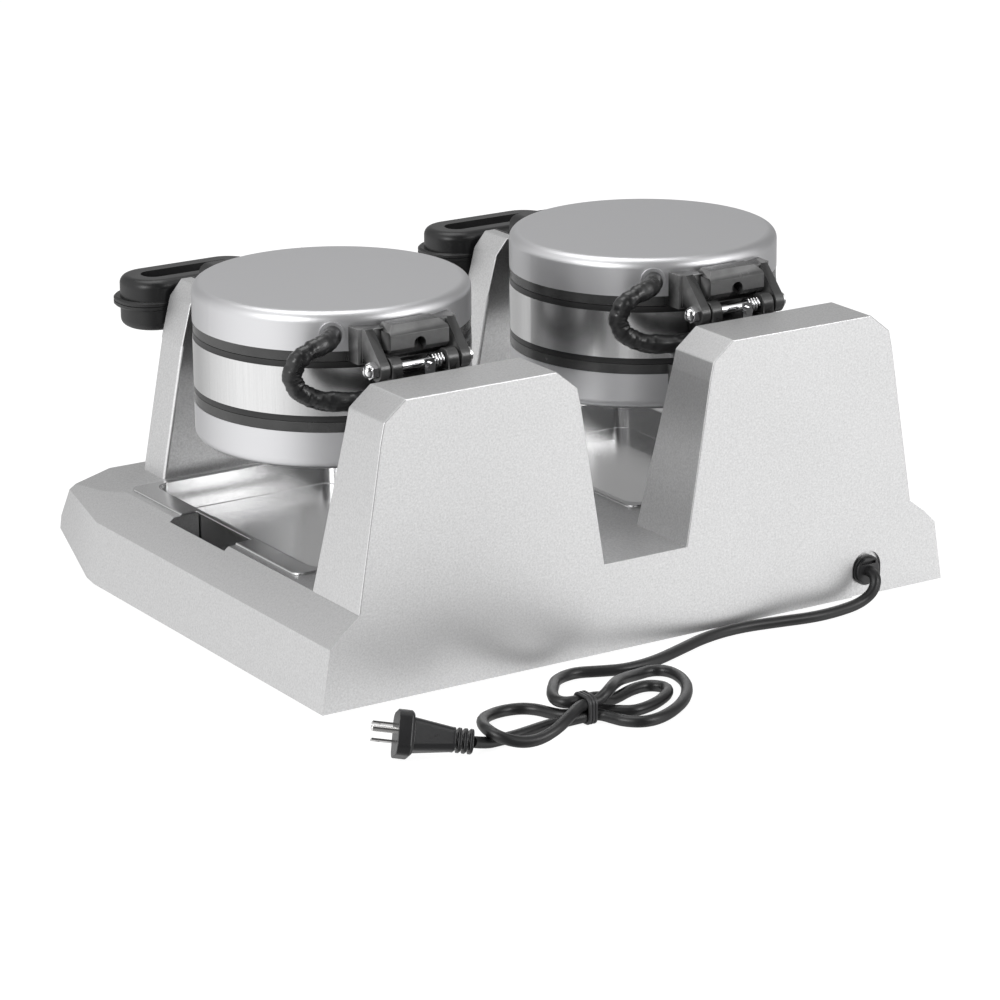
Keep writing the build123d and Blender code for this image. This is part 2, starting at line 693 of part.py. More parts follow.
def make_tray(side):
    """Drip tray: a pan with a rolled rim, a raised floor panel and a notch for fingers."""
    x = side * HEAD_SPACING / 2
    top = BASE_HEIGHT
    floor = top - TRAY_PAN_DEPTH
    wall = Pos(0, 0, floor - TRAY_WALL) * extrude(tray_outline(0, x), TRAY_PAN_DEPTH + TRAY_WALL)
    outer = side * (TRAY_HALF_WIDTH + TRAY_OUTER_RIM_WIDTH)
    inner = side * (TRAY_HALF_WIDTH + TRAY_RIM_WIDTH)
    rim = box(
        x - inner,
        x + outer,
        -TRAY_FRONT_DEPTH - TRAY_RIM_WIDTH,
        -TRAY_REAR_DEPTH + TRAY_RIM_WIDTH,
        top,
        top + TRAY_RIM_HEIGHT,
    )
    rim = fillet(rim.edges().filter_by(Axis.Z), 8)
    tray = wall + rim
    tray = chamfer(tray.edges().group_by(Axis.Z)[-1], 0.8)
    tray -= Pos(0, 0, floor) * extrude(tray_outline(TRAY_WALL, x), TRAY_PAN_DEPTH + 5)
    plateau = extrude(tray_outline(PLATEAU_INSET, x), PLATEAU_HEIGHT)
    tray += Pos(0, 0, floor) * chamfer(plateau.edges().group_by(Axis.Z)[-1], 1)
    cut_x = side * (TRAY_HALF_WIDTH + 3)
    notch_cut = box(
        x + cut_x,
        x + outer + side * 5,
        -SCOOP_FRONT_DEPTH,
        -SCOOP_REAR_DEPTH,
        top - 1,
        top + 9,
    )
    return tray - notch_cut


# Round heads, in a head's own frame: origin on the turning axis, +Y to the rear

def make_center_band():
    """Steel band round the middle section."""
    band = ring_z(-BAND_HALF_HEIGHT, BAND_HALF_HEIGHT, HEAD_RADIUS - BAND_WALL, HEAD_RADIUS)
    return band - rod_y(-HEAD_RADIUS - 5, 0, 0, 0, TRUNNION_RADIUS + PIN_CLEARANCE)


def make_center_rims():
    """Black rims on the top and bottom of the middle band, which hold its grids."""
    top = PARTING_HEIGHT - PARTING_GAP / 2
    lip = ring_z(BAND_HALF_HEIGHT, top, RING_BORE_RADIUS, BLACK_RING_RADIUS)
    leg = ring_z(MIDDLE_GRID_HEIGHT, BAND_HALF_HEIGHT, RING_BORE_RADIUS, GRID_RADIUS)
    rim = lip + leg
    return Compound(children=[rim.solids()[0], mirror(rim, about=Plane.XY).solids()[0]])


def studs(height, up):
    """Tapered studs of one grid, inside its round field."""
    count = int(STUD_FIELD_RADIUS / STUD_PITCH) + 1
    cells = []
    for i in range(-count, count):
        for j in range(-count, count):
            x = (i + 0.5) * STUD_PITCH
            y = (j + 0.5) * STUD_PITCH
            if math.hypot(x, y) + STUD_SIZE * 0.7 < STUD_FIELD_RADIUS:
                cells.append(Pos(x, y) * Rectangle(STUD_SIZE, STUD_SIZE))
    field = Sketch() + cells
    cones = extrude(field, STUD_HEIGHT, taper=STUD_TAPER)
    if not up:
        cones = mirror(cones, about=Plane.XY)
    return Pos(0, 0, height) * cones


def make_center_grids():
    """The two waffle grids of the middle section, back to back."""
    base = MIDDLE_GRID_HEIGHT - GRID_THICKNESS
    grid = rod_z(base, MIDDLE_GRID_HEIGHT, 0, 0, GRID_RADIUS) + studs(MIDDLE_GRID_HEIGHT, True)
    return Compound(children=[grid.solids()[0], mirror(grid, about=Plane.XY).solids()[0]])


def make_center_heater():
    """Heating plate between the two middle grids."""
    half = MIDDLE_GRID_HEIGHT - GRID_THICKNESS
    return rod_z(-half, half, 0, 0, MIDDLE_HEATER_RADIUS)


def make_lid_grid():
    """Waffle grid of a lid, studs down, with its heating element cast into the back."""
    top = LID_GRID_HEIGHT + GRID_THICKNESS
    grid = rod_z(LID_GRID_HEIGHT, top, 0, 0, GRID_RADIUS) + studs(LID_GRID_HEIGHT, False)
    return grid + Pos(0, 0, top) * Torus(ELEMENT_RING_RADIUS, ELEMENT_RADIUS)


def boss_location():
    """Where the cable boss stands on a lid's wall, with its own Z pointing out."""
    angle = math.radians(CABLE_BOSS_ANGLE)
    out = Vector(math.cos(angle), math.sin(angle), 0)
    return out, out * HEAD_RADIUS + Vector(0, 0, CABLE_BOSS_HEIGHT)


def make_lid_cover():
    """Pressed steel lid cover with its rounded edge and, at the rear, the cable boss."""
    cover = rod_z(RING_HEIGHT, LID_HEIGHT, 0, 0, HEAD_RADIUS)
    cover = fillet(cover.edges().group_by(Axis.Z)[-1], LID_EDGE_RADIUS)
    inner = rod_z(RING_HEIGHT - 1, LID_HEIGHT - LID_WALL, 0, 0, HEAD_RADIUS - LID_WALL)
    inner = fillet(inner.edges().group_by(Axis.Z)[-1], LID_EDGE_RADIUS - LID_WALL)
    out, foot = boss_location()
    boss = Plane(origin=foot - out * 4, z_dir=out).location * rod_z(0, 4 + CABLE_BOSS_LENGTH, 0, 0, CABLE_BOSS_RADIUS)
    return cover + boss - inner


def make_lid_frame():
    """Black ring of a lid with its hinge arms, back plate and bridge block, arched to clear the spring's tab."""
    bottom = PARTING_HEIGHT + PARTING_GAP / 2
    frame = ring_z(bottom, RING_HEIGHT, RING_BORE_RADIUS, BLACK_RING_RADIUS)
    frame += ring_z(bottom, LID_GRID_HEIGHT, RING_BORE_RADIUS, GRID_RADIUS)
    plate_end = HEAD_RADIUS + BACK_PLATE_THICKNESS
    plate = box(-BACK_PLATE_HALF_WIDTH, BACK_PLATE_HALF_WIDTH, 90, plate_end, bottom, BRIDGE_TOP - 3)
    for side in (-1, 1):
        x0 = side * ARM_INNER
        x1 = side * (ARM_INNER + ARM_THICKNESS)
        outline = [
            (plate_end - 4, bottom + 2),
            (plate_end - 4, BRIDGE_TOP - 3),
            (plate_end + 4, BRIDGE_TOP - 3),
            (PIN_Y + ARM_KNUCKLE_RADIUS * 0.8, PARTING_HEIGHT + ARM_KNUCKLE_RADIUS * 0.6),
            (PIN_Y, PARTING_HEIGHT),
        ]
        plate += prism_x(outline, min(x0, x1), max(x0, x1))
        plate += rod_x(x0, x1, PIN_Y, PARTING_HEIGHT, ARM_KNUCKLE_RADIUS)
    bridge = box(-BRIDGE_HALF_WIDTH, BRIDGE_HALF_WIDTH, plate_end - 2, PIN_Y, BRIDGE_FOOT, BRIDGE_TOP)
    bridge = chamfer(bridge.edges().filter_by(Axis.X).group_by(Axis.Z)[-1].sort_by(Axis.Y)[-1], 7)
    bridge = chamfer(bridge.edges().filter_by(Axis.X).group_by(Axis.Z)[0].sort_by(Axis.Y)[-1], 4)
    ends = bridge.faces().sort_by(Axis.X)
    bridge = chamfer([ends[0].edges().sort_by(Axis.Z)[-1], ends[-1].edges().sort_by(Axis.Z)[-1]], 5)
    arch_middle = BRIDGE_FOOT + BRIDGE_HOLE_RADIUS + 1.5
    bridge -= rod_y(PIN_Y - BRIDGE_HOLE_DEPTH, PIN_Y + 1, 0, arch_middle, BRIDGE_HOLE_RADIUS)
    bridge -= box(
        -BRIDGE_HOLE_RADIUS,
        BRIDGE_HOLE_RADIUS,
        PIN_Y - BRIDGE_HOLE_DEPTH,
        PIN_Y + 1,
        BRIDGE_FOOT - 1,
        arch_middle,
    )
    brace = box(-ARM_INNER - 1, ARM_INNER + 1, plate_end - 2, plate_end + 5, BRIDGE_FOOT + 3, BRIDGE_TOP - 3)
    core = rod_z(-1, 99, 0, 0, HEAD_RADIUS) - ring_z(bottom - 9, RING_HEIGHT, BLACK_RING_RADIUS - 1, HEAD_RADIUS + 1)
    frame += plate + bridge + brace - core
    frame -= rod_x(-99, 99, PIN_Y, PARTING_HEIGHT, HINGE_PIN_RADIUS + PIN_CLEARANCE)
    return frame


def make_hub():
    """Cast block behind the middle band, with the fixed lugs of both lid hinges."""
    hub = box(-HUB_HALF_WIDTH, HUB_HALF_WIDTH, HEAD_RADIUS - 8, HUB_END_Y, -HUB_HALF_HEIGHT, HUB_HALF_HEIGHT)
    for flip in (-1, 1):
        z = flip * PARTING_HEIGHT
        for side in (-1, 1):
            x0 = side * LUG_INNER
            x1 = side * (LUG_INNER + LUG_THICKNESS)
            hub += rod_x(x0, x1, PIN_Y, z, LUG_RADIUS)
            hub += box(x0, x1, PIN_Y - LUG_RADIUS, PIN_Y + LUG_RADIUS, 0, z)
        hub -= rod_x(-99, 99, PIN_Y, z, HINGE_PIN_RADIUS)
    return hub - rod_z(-99, 99, 0, 0, HEAD_RADIUS)


def make_pins():
    """The two hinge pins, each with a dome nut at one end and a flat head at the other."""
    pins = []
    end = ARM_INNER + ARM_THICKNESS + 0.5
    for flip in (-1, 1):
        z = flip * PARTING_HEIGHT
        pin = rod_x(-end - 3, end + 6, PIN_Y, z, HINGE_PIN_RADIUS)
        pin += rod_x(-end - 3, -end, PIN_Y, z, HINGE_PIN_RADIUS + 2)
        hexagon = Plane(origin=(end, PIN_Y, z), z_dir=(1, 0, 0)) * RegularPolygon(NUT_ACROSS_FLATS / 2, 6, major_radius=False)
        pin += extrude(hexagon, 5, dir=(1, 0, 0))
        pin += Pos(end + 5, PIN_Y, z) * Sphere(NUT_ACROSS_FLATS / 2 - 0.7)
        pins.append(pin.solids()[0])
    return Compound(children=pins)


def biarc_path(points, tangents):
    """A smooth wire of two arcs, or one straight run, between each pair of points."""
    edges = []
    for a, b, ta, tb in zip(points, points[1:], tangents, tangents[1:]):
        chord = b - a
        if min(ta.dot(chord), tb.dot(chord)) > chord.length * (1 - 1e-9):
            edges.append(Edge.make_line(a, b))
            continue
        both = ta + tb
        spread = 2 * (1 - ta.dot(tb))
        along = chord.dot(both)
        if spread < 1e-9:
            reach = chord.dot(chord) / (2 * along)
        else:
            reach = (-along + math.sqrt(along * along + spread * chord.dot(chord))) / spread
        middle = (a + b + (ta - tb) * reach) * 0.5
        turn = (b - tb * reach - a - ta * reach).normalized()
        edges.append(Edge.make_tangent_arc(a, ta, middle))
        edges.append(Edge.make_tangent_arc(middle, turn, b))
    return Wire(edges)


def tube(wire, radius):
    """A round tube along a wire."""
    start = Plane(origin=wire @ 0, z_dir=wire % 0)
    return sweep(start * Circle(radius), path=wire)


def make_springs():
    """Torsion springs on the hinge pins, and the screwed tabs that hold their ends."""
    pieces = []
    steps = 4 * SPRING_TURNS
    for flip in (-1, 1):
        z = flip * PARTING_HEIGHT
        points = []
        tangents = []
        for step in range(steps + 1):
            angle = step * math.pi / 2
            x = SPRING_START + step * SPRING_PITCH / 4
            points.append(
                Vector(x, PIN_Y + SPRING_MEAN_RADIUS * math.cos(angle), z + SPRING_MEAN_RADIUS * math.sin(angle))
            )
            rise = SPRING_PITCH / (2 * math.pi * SPRING_MEAN_RADIUS)
            tangents.append(Vector(rise, -math.sin(angle), math.cos(angle)).normalized())
        pieces.append(tube(biarc_path(points, tangents), SPRING_WIRE_RADIUS).solids()[0])
        top = flip * (PARTING_HEIGHT + 6)
        face = HUB_END_Y - 2
        tab = box(TAB_START, TAB_START + TAB_WIDTH, face - 1.5, face, flip * HUB_HALF_HEIGHT, top)
        tab += rod_y(face, face + 2.5, TAB_START + TAB_WIDTH / 2, top - flip * 6, 3.4)
        pieces.append(tab.solids()[0])
    return Compound(children=pieces)


def make_shaft():
    """Hollow rear shaft that carries the head and lets its wires through."""
    end = TOWER_FACE_Y + SHEET + BEARING_LENGTH + SEAT_GAP
    shaft = rod_y(HUB_END_Y, end + COLLAR_LENGTH, 0, 0, SHAFT_RADIUS)
    shaft += rod_y(HUB_END_Y, HUB_END_Y + SHAFT_FLANGE_LENGTH, 0, 0, SHAFT_FLANGE_RADIUS)
    shaft += rod_y(end, end + COLLAR_LENGTH, 0, 0, COLLAR_RADIUS)
    return shaft - rod_y(0, end + 20, 0, 0, SHAFT_BORE_RADIUS)


def make_trunnion():
    """Front pin of the middle section, in the core of the handle stems."""
    inner = -HEAD_RADIUS + BAND_WALL
    pin = rod_y(GRIP_NEAR_Y + 1, inner + 4, 0, 0, TRUNNION_RADIUS)
    nut = rod_y(inner + 1, inner + 4, 0, 0, TRUNNION_RADIUS + 3)
    return pin + nut


def make_handle():
    """Black handle of a lid: plate on the lid's wall, half stem and finger loop."""
    low = HANDLE_SPLIT_GAP / 2
    plate_front = -HEAD_RADIUS - PLATE_THICKNESS
    plate = box(-PLATE_HALF_WIDTH, PLATE_HALF_WIDTH, plate_front, -80, low, PLATE_TOP)
    plate = fillet(plate.edges().filter_by(Axis.Y).group_by(Axis.Z)[-1], 9)
    plate = fillet(plate.faces().sort_by(Axis.Y)[0].edges(), 2)
    plate -= rod_z(-1, RING_HEIGHT + 0.5, 0, 0, HEAD_RADIUS + 0.6)
    plate -= rod_z(RING_HEIGHT, 99, 0, 0, HEAD_RADIUS)
    stem = rod_y(GRIP_NEAR_Y - 2, plate_front + 1, 0, 0, STEM_RADIUS)
    middle_y = GRIP_NEAR_Y - GRIP_DEPTH / 2
    outline = Pos(0, middle_y) * RectangleRounded(2 * GRIP_HALF_WIDTH, GRIP_DEPTH, GRIP_CORNER_RADIUS)
    lip = Pos(0, middle_y - GRIP_LIP / 2) * RectangleRounded(
        2 * (GRIP_HALF_WIDTH + GRIP_LIP), GRIP_DEPTH + GRIP_LIP, GRIP_CORNER_RADIUS
    )
    grip = extrude(outline, GRIP_HEIGHT)
    grip = fillet(grip.edges().group_by(Axis.Z)[-1], 7)
    grip += chamfer(extrude(lip, GRIP_LIP_HEIGHT).edges().group_by(Axis.Z)[-1], 1.5)
    hole_depth = GRIP_DEPTH - GRIP_NEAR_BAR - GRIP_FAR_BAR
    hole_y = GRIP_NEAR_Y - GRIP_NEAR_BAR - hole_depth / 2
    hole = Pos(0, hole_y) * RectangleRounded(2 * (GRIP_HALF_WIDTH - GRIP_SIDE_BAR), hole_depth, hole_depth / 2 - 0.5)
    grip -= Pos(0, 0, -1) * extrude(hole, GRIP_HEIGHT + 5)
    handle = plate + stem + grip
    handle = handle & box(-200, 200, -400, 0, low, 200)
    return handle - rod_y(GRIP_NEAR_Y + 0.5, 0, 0, 0, TRUNNION_RADIUS + STEM_PLAY)


def make_lid_cables():
    """Thick sleeved cable from a lid's boss round to the side of the hub."""
    out, foot = boss_location()
    start = foot + out * CABLE_BOSS_LENGTH
    turned = Rot(0, 180, 0)
    points = [
        start,
        start + out * 20,
        Vector(95, 117, 41),
        Vector(103, 112, 22),
        Vector(90, 115, 5),
        Vector(62, 128, 0),
        Vector(LUG_INNER + LUG_THICKNESS, 128, 0),
    ]
    cable = tube(FilletPolyline(*points, radius=corner_radii(points, "lid cable")), CABLE_RADIUS)
    return Compound(children=[cable.solids()[0], (turned * cable).solids()[0]])


# Power cord, in the base's frame

def corner_radii(points, name):
    """A radius for each corner of a route, as large as its shorter run allows."""
    points = [Vector(*p) if isinstance(p, tuple) else p for p in points]
    radii = []
    for a, b, c in zip(points, points[1:], points[2:]):
        turn = math.radians((b - a).get_angle(c - b))
        shorter = min((b - a).length, (c - b).length)
        radii.append(0.45 * shorter / math.tan(turn / 2))
    print(name, "radii", [round(r, 1) for r in radii])
    return radii


def make_cord_lead():
    """The free stretch of cord from the strain relief to the bundle."""
    wire = FilletPolyline(*LEAD_POINTS, radius=corner_radii(LEAD_POINTS, "cord lead"))
    lead = tube(wire, CORD_RADIUS)
    straight_volume = wire.length * math.pi * CORD_RADIUS**2
    print("cord lead length", round(wire.length), "volume ratio", round(lead.volume / straight_volume, 4))
    return lead


def make_cord_hank():
    """The tied figure of eight and the tail to the plug, as one unbroken tube."""
    points = [Vector(*p) for p in HANK_POINTS]
    tangents = [(Vector(*LEAD_POINTS[-1]) - Vector(*LEAD_POINTS[-2])).normalized()]
    for a, b, c in zip(points, points[1:], points[2:]):
        tangent = c - a
        if (b.Z - a.Z) * (c.Z - b.Z) <= 0:
            tangent.Z = 0
        for start, end in ((a, b), (b, c)):
            if start.Y == end.Y and start.Z == end.Z:
                tangent = end - start
        tangents.append(tangent.normalized())
    tangents.append(Vector(*PLUG_AXIS).normalized())
    wire = biarc_path(points, tangents)
    count = round(wire.length / 2.5)
    samples = [wire @ (i / count) for i in range(count + 1)]
    apart = round(8 * CORD_RADIUS / 2.5)
    gap = min((a - b).length for i, a in enumerate(samples) for b in samples[i + apart:]) - 2 * CORD_RADIUS
    print("cord hank length", round(wire.length), "least gap to itself", round(gap, 2))
    return tube(wire, CORD_RADIUS)


def make_cord_tie():
    """Band of three turns round the four strands at the waist of the bundle."""
    inner = STRAND_PITCH + 2 * (CORD_RADIUS + TIE_PLAY)
    corner = CORD_RADIUS + TIE_PLAY
    middle = Plane(origin=(TIE_X, TIE_Y, (LOW + HIGH) / 2), x_dir=(0, 1, 0), z_dir=(1, 0, 0))

    def turn(outer, rounding, half_length):
        return extrude(middle * RectangleRounded(outer, outer, rounding), half_length, both=True)

    outer = inner + 2 * TIE_WALL
    band = turn(outer, corner + TIE_WALL, TIE_LENGTH / 2)
    for step in (-1, 0, 1):
        rib = turn(outer + 2 * TIE_RIB, corner + TIE_WALL + TIE_RIB, TIE_LENGTH / 10)
        band += Pos(step * TIE_LENGTH / 3, 0, 0) * rib
    band -= turn(inner, corner, TIE_LENGTH)
    return band & box(-400, 400, -400, 400, -FOOT_HEIGHT, 99)


def make_strain_relief():
    """Round bushing snapped into the tab behind the notch, where the cord comes out."""
    face = -SHEET - SEAT_GAP
    relief = rod_y(face - SHEET - 6, RELIEF_REACH, NOTCH_X, RELIEF_HEIGHT, RELIEF_RADIUS)
    relief += rod_y(face, face + 3, NOTCH_X, RELIEF_HEIGHT, RELIEF_RADIUS + 1.5)
    relief += rod_y(face - SHEET - 5, face - SHEET, NOTCH_X, RELIEF_HEIGHT, RELIEF_RADIUS + 1)
    relief = chamfer(relief.edges().group_by(Axis.Y)[-1], 1)
    mouth = box(NOTCH_X - 7, NOTCH_X + 7, 0, RELIEF_REACH + 1, RELIEF_HEIGHT + 5.5, RELIEF_HEIGHT + 8)
    return relief - mouth


def plug_location():
    """Where the plug lies: its own X along the cord's end, rolled about it."""
    axis = Vector(*PLUG_AXIS)
    upright = axis.cross(Vector(-axis.Y, axis.X, 0))
    return Plane(origin=HANK_POINTS[-1], x_dir=axis, z_dir=upright).location * Rot(PLUG_ROLL, 0, 0)


def plug_section(x, size, corner):
    """A rounded outline of the plug, x along its axis."""
    across = Plane(origin=(x, 0, 0), x_dir=(0, 1, 0), z_dir=(1, 0, 0))
    return across * RectangleRounded(*size, corner)


def make_plug_body():
    """Moulded plug: ribbed tail, tapered body and a square flange."""
    plug = loft([plug_section(PLUG_RIB_LENGTH, PLUG_NECK, 5), plug_section(PLUG_BODY_END, PLUG_BODY, 5)])
    flange = extrude(plug_section(PLUG_BODY_END, PLUG_FLANGE, 7), PLUG_END - PLUG_BODY_END)
    plug += chamfer(flange.edges().group_by(Axis.X)[0], 2)
    plug += rod_x(0, PLUG_RIB_LENGTH + 1, 0, 0, CORD_RADIUS + 1.5)
    for step in range(PLUG_RIB_COUNT):
        x = step * (PLUG_RIB_LENGTH - PLUG_RIB_WIDTH) / (PLUG_RIB_COUNT - 1)
        plug += extrude(plug_section(x, PLUG_NECK, 5), PLUG_RIB_WIDTH)
    return plug_location() * plug


def make_plug_prongs():
    """Two flat blades, one above the other, and the round ground pin beside them."""
    prongs = []
    middle = BLADE_SPACING / 2
    half = BLADE_THICKNESS / 2
    for z in (-middle, middle):
        blade = box(PLUG_END, PLUG_END + BLADE_LENGTH, -BLADE_WIDTH / 2, BLADE_WIDTH / 2, z - half, z + half)
        blade -= rod_z(z - 2, z + 2, PLUG_END + BLADE_LENGTH - 5, 0, BLADE_WIDTH / 4)
        prongs.append(plug_location() * blade)
    pin = rod_x(PLUG_END, PLUG_END + GROUND_PIN_LENGTH, GROUND_PIN_OFFSET, 0, GROUND_PIN_RADIUS)
    pin = fillet(pin.edges().group_by(Axis.X)[-1], GROUND_PIN_RADIUS * 0.6)
    prongs.append(plug_location() * pin)
    return Compound(children=[prong.solids()[0] for prong in prongs])


def head_pieces(name, side):
    """Every piece of one head, by node name."""
    lid = {
        "cover": make_lid_cover(),
        "frame": make_lid_frame(),
        "grid": make_lid_grid(),
        "handle": make_handle(),
    }
    pieces = {
        "center_band": make_center_band(),
        "center_rims": make_center_rims(),
        "center_grids": make_center_grids(),
        "center_heater": make_center_heater(),
        "hinge_hub": make_hub(),
        "hinge_pins": make_pins(),
        "hinge_springs": make_springs(),
        "rear_shaft": make_shaft(),
        "front_trunnion": make_trunnion(),
        "lid_cables": make_lid_cables(),
    }
    for part, shape in lid.items():
        pieces[f"upper_lid_{part}"] = shape
        pieces[f"lower_lid_{part}"] = Rot(0, 180, 0) * shape
    return {f"{name}_{part}": to_head(shape, side) for part, shape in pieces.items()}


def main():
    """Builds every piece and writes it."""
    os.makedirs("parts", exist_ok=True)
    pieces = {
        "base_shell": make_base_shell(),
        "base_bottom_plate": make_bottom_plate(),
        "rubber_feet": make_feet(),
        "control_panel": make_control_panel(),
        "switch_frames": make_switch_frames(),
        "indicator_lights": make_lights(),
        "thermostats": make_thermostats(),
        "strain_relief": make_strain_relief(),
        "cord_lead": make_cord_lead(),
        "cord_hank": make_cord_hank(),
        "cord_tie": make_cord_tie(),
        "plug_body": make_plug_body(),
        "plug_prongs": make_plug_prongs(),
    }
    tower, tower_cap = make_tower()
    post, post_cap, liner = make_post()
    pairs = {
        "rear_towers": tower,
        "front_posts": post,
        "cradle_liners": liner,
    }
    spots = [Pos(side * HEAD_SPACING / 2, 0, 0) for side in SIDES.values()]
    for name, shape in pairs.items():
        pieces[name] = Compound(children=[(spot * shape).solids()[0] for spot in spots])
    caps = [(spot * cap).solids()[0] for spot in spots for cap in (tower_cap, post_cap)]
    pieces["upright_caps"] = Compound(children=caps)
    for name, side in SIDES.items():
        spot = Pos(side * HEAD_SPACING / 2, 0, 0)
        pieces[f"{name}_dial"] = spot * make_knob()
        pieces[f"{name}_power_switch"] = spot * make_switch()
        pieces[f"{name}_drip_tray"] = make_tray(side)
    for name, shape in pieces.items():
        save(name, to_world(shape))
    bearing = make_bearing()
    save("rear_bearings", Compound(children=[to_head(bearing, side).solids()[0] for side in SIDES.values()]))
    for name, side in SIDES.items():
        for node, shape in head_pieces(name, side).items():
            save(node, shape)


if __name__ == "__main__":
    main()
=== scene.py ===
import json
import logging
import math
from dataclasses import dataclass, field
from enum import Enum

import bmesh
import bpy
from mathutils import Matrix, Quaternion, Vector, kdtree, noise

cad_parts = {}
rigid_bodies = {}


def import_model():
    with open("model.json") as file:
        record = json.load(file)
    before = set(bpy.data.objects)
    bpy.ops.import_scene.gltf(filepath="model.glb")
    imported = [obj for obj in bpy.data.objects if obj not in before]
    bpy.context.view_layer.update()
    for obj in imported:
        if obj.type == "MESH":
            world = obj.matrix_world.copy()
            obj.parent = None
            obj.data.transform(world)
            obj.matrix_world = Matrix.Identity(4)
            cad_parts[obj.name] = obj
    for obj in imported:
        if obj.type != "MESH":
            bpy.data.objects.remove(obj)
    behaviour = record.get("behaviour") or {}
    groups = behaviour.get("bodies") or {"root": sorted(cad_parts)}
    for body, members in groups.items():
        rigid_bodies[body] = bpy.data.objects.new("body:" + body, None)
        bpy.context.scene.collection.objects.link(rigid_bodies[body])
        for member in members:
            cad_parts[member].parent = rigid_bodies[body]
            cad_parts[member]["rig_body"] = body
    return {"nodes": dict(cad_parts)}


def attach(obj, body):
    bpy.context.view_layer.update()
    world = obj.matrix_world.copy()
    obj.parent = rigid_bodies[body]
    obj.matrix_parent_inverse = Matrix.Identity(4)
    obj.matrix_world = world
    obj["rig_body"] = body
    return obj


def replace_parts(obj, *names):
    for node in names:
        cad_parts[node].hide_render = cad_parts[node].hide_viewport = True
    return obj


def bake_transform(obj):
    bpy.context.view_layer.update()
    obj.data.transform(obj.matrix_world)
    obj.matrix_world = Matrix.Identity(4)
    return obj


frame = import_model()
log = logging.getLogger("waffle_maker")

SIDES = {"right": 1.0, "left": -1.0}

# Mesh limits, in metres and degrees
MERGE_DISTANCE = 1e-6
FLAT_ANGLE = 0.5
SHARP_ANGLE = 35.0
SEAM_RADIUS = 0.0004
SEAM_REACH = 0.0002

# Heights of the sheet's joints above the ground, in metres
TOWER_SEAM_HEIGHT = 0.2083
POST_SEAM_HEIGHT = 0.188
BASE_TOP_HEIGHT = 0.078

# Texture scales, in cells per metre
SPECKLE_SCALE = 620.0
LINE_SCALE = 900.0
CLOUD_SCALE = 9.0
PATCH_SCALE = 30.0
RIB_SCALE = 320.0

# Depths of the bump maps, in metres
METAL_BUMP_DEPTH = 0.0002
SKIN_BUMP_DEPTH = 0.0003
RIB_BUMP_DEPTH = 0.0002

# Pointiness from which a convex edge starts to turn lighter, and at which it is fully lighter: edge wear and
# a painted edge highlight
EDGE_SHEEN_AND_WEAR_START = 0.51
EDGE_SHEEN_AND_WEAR_END = 0.6

# How far the patches change a skin's roughness
PATCH_ROUGHNESS = 0.22


# Shader building

class Wiring:
    """Adds nodes to one node tree and links them."""

    def __init__(self, tree: bpy.types.NodeTree) -> None:
        """Starts on a tree.

        Args:
            tree: The node tree that the nodes go in.
        """
        self.tree = tree

    def add(self, kind: str, inputs: dict | None = None, **settings) -> bpy.types.Node:
        """Adds one node.

        Args:
            kind: The node's Blender type name.
            inputs: Values, or output sockets to link, by input name or number.
            **settings: Properties of the node itself.

        Returns:
            The new node.
        """
        node = self.tree.nodes.new(kind)
        for name, value in settings.items():
            setattr(node, name, value)
        for key, value in (inputs or {}).items():
            self.put(node, key, value)
        return node

    def put(self, node: bpy.types.Node, key: str | int, value: object) -> None:
        """Sets an input to a value, or links an output socket to it.

        Args:
            node: The node that gets the input.
            key: The input's name or number.
            value: A plain value or an output socket.
        """
        if isinstance(value, bpy.types.NodeSocket):
            self.tree.links.new(value, node.inputs[key])
        else:
            node.inputs[key].default_value = value

    def math(
        self, operation: str, a: object, b: object = 0.0, clamp: bool = False
    ) -> bpy.types.NodeSocket:
        """Adds a Math node and returns its output.

        Args:
            operation: The operation's name.
            a: The first input.
            b: The second input.
            clamp: Whether the result is kept from 0 to 1.

        Returns:
            The result's socket.
        """
        return self.add("ShaderNodeMath", {0: a, 1: b}, operation=operation, use_clamp=clamp).outputs[0]

    def spread(self, value: object, low: float, high: float) -> bpy.types.NodeSocket:
        """Maps 0 to 1 onto low to high and returns the result's socket."""
        return self.add("ShaderNodeMapRange", {"Value": value, "To Min": low, "To Max": high}).outputs[0]


def clear_wiring(owner: bpy.types.Material | bpy.types.World) -> Wiring:
    """Turns nodes on in a material or a world, empties its tree and gives the tree's wiring.

    Args:
        owner: The material or world.

    Returns:
        The wiring of its empty node tree.
    """
    owner.use_nodes = True
    owner.node_tree.nodes.clear()
    return Wiring(owner.node_tree)


def new_group(
    name: str, inputs: dict[str, str], outputs: dict[str, str]
) -> tuple[Wiring, bpy.types.Node, bpy.types.Node]:
    """Starts a shader node group with named sockets.

    Args:
        name: The group's name.
        inputs: Socket type by input name.
        outputs: Socket type by output name.

    Returns:
        The wiring of the group, its input node and its output node.
    """
    tree = bpy.data.node_groups.new(name, "ShaderNodeTree")
    for socket, kind in inputs.items():
        tree.interface.new_socket(name=socket, in_out="INPUT", socket_type=kind)
    for socket, kind in outputs.items():
        tree.interface.new_socket(name=socket, in_out="OUTPUT", socket_type=kind)
    wiring = Wiring(tree)
    return wiring, wiring.add("NodeGroupInput"), wiring.add("NodeGroupOutput")


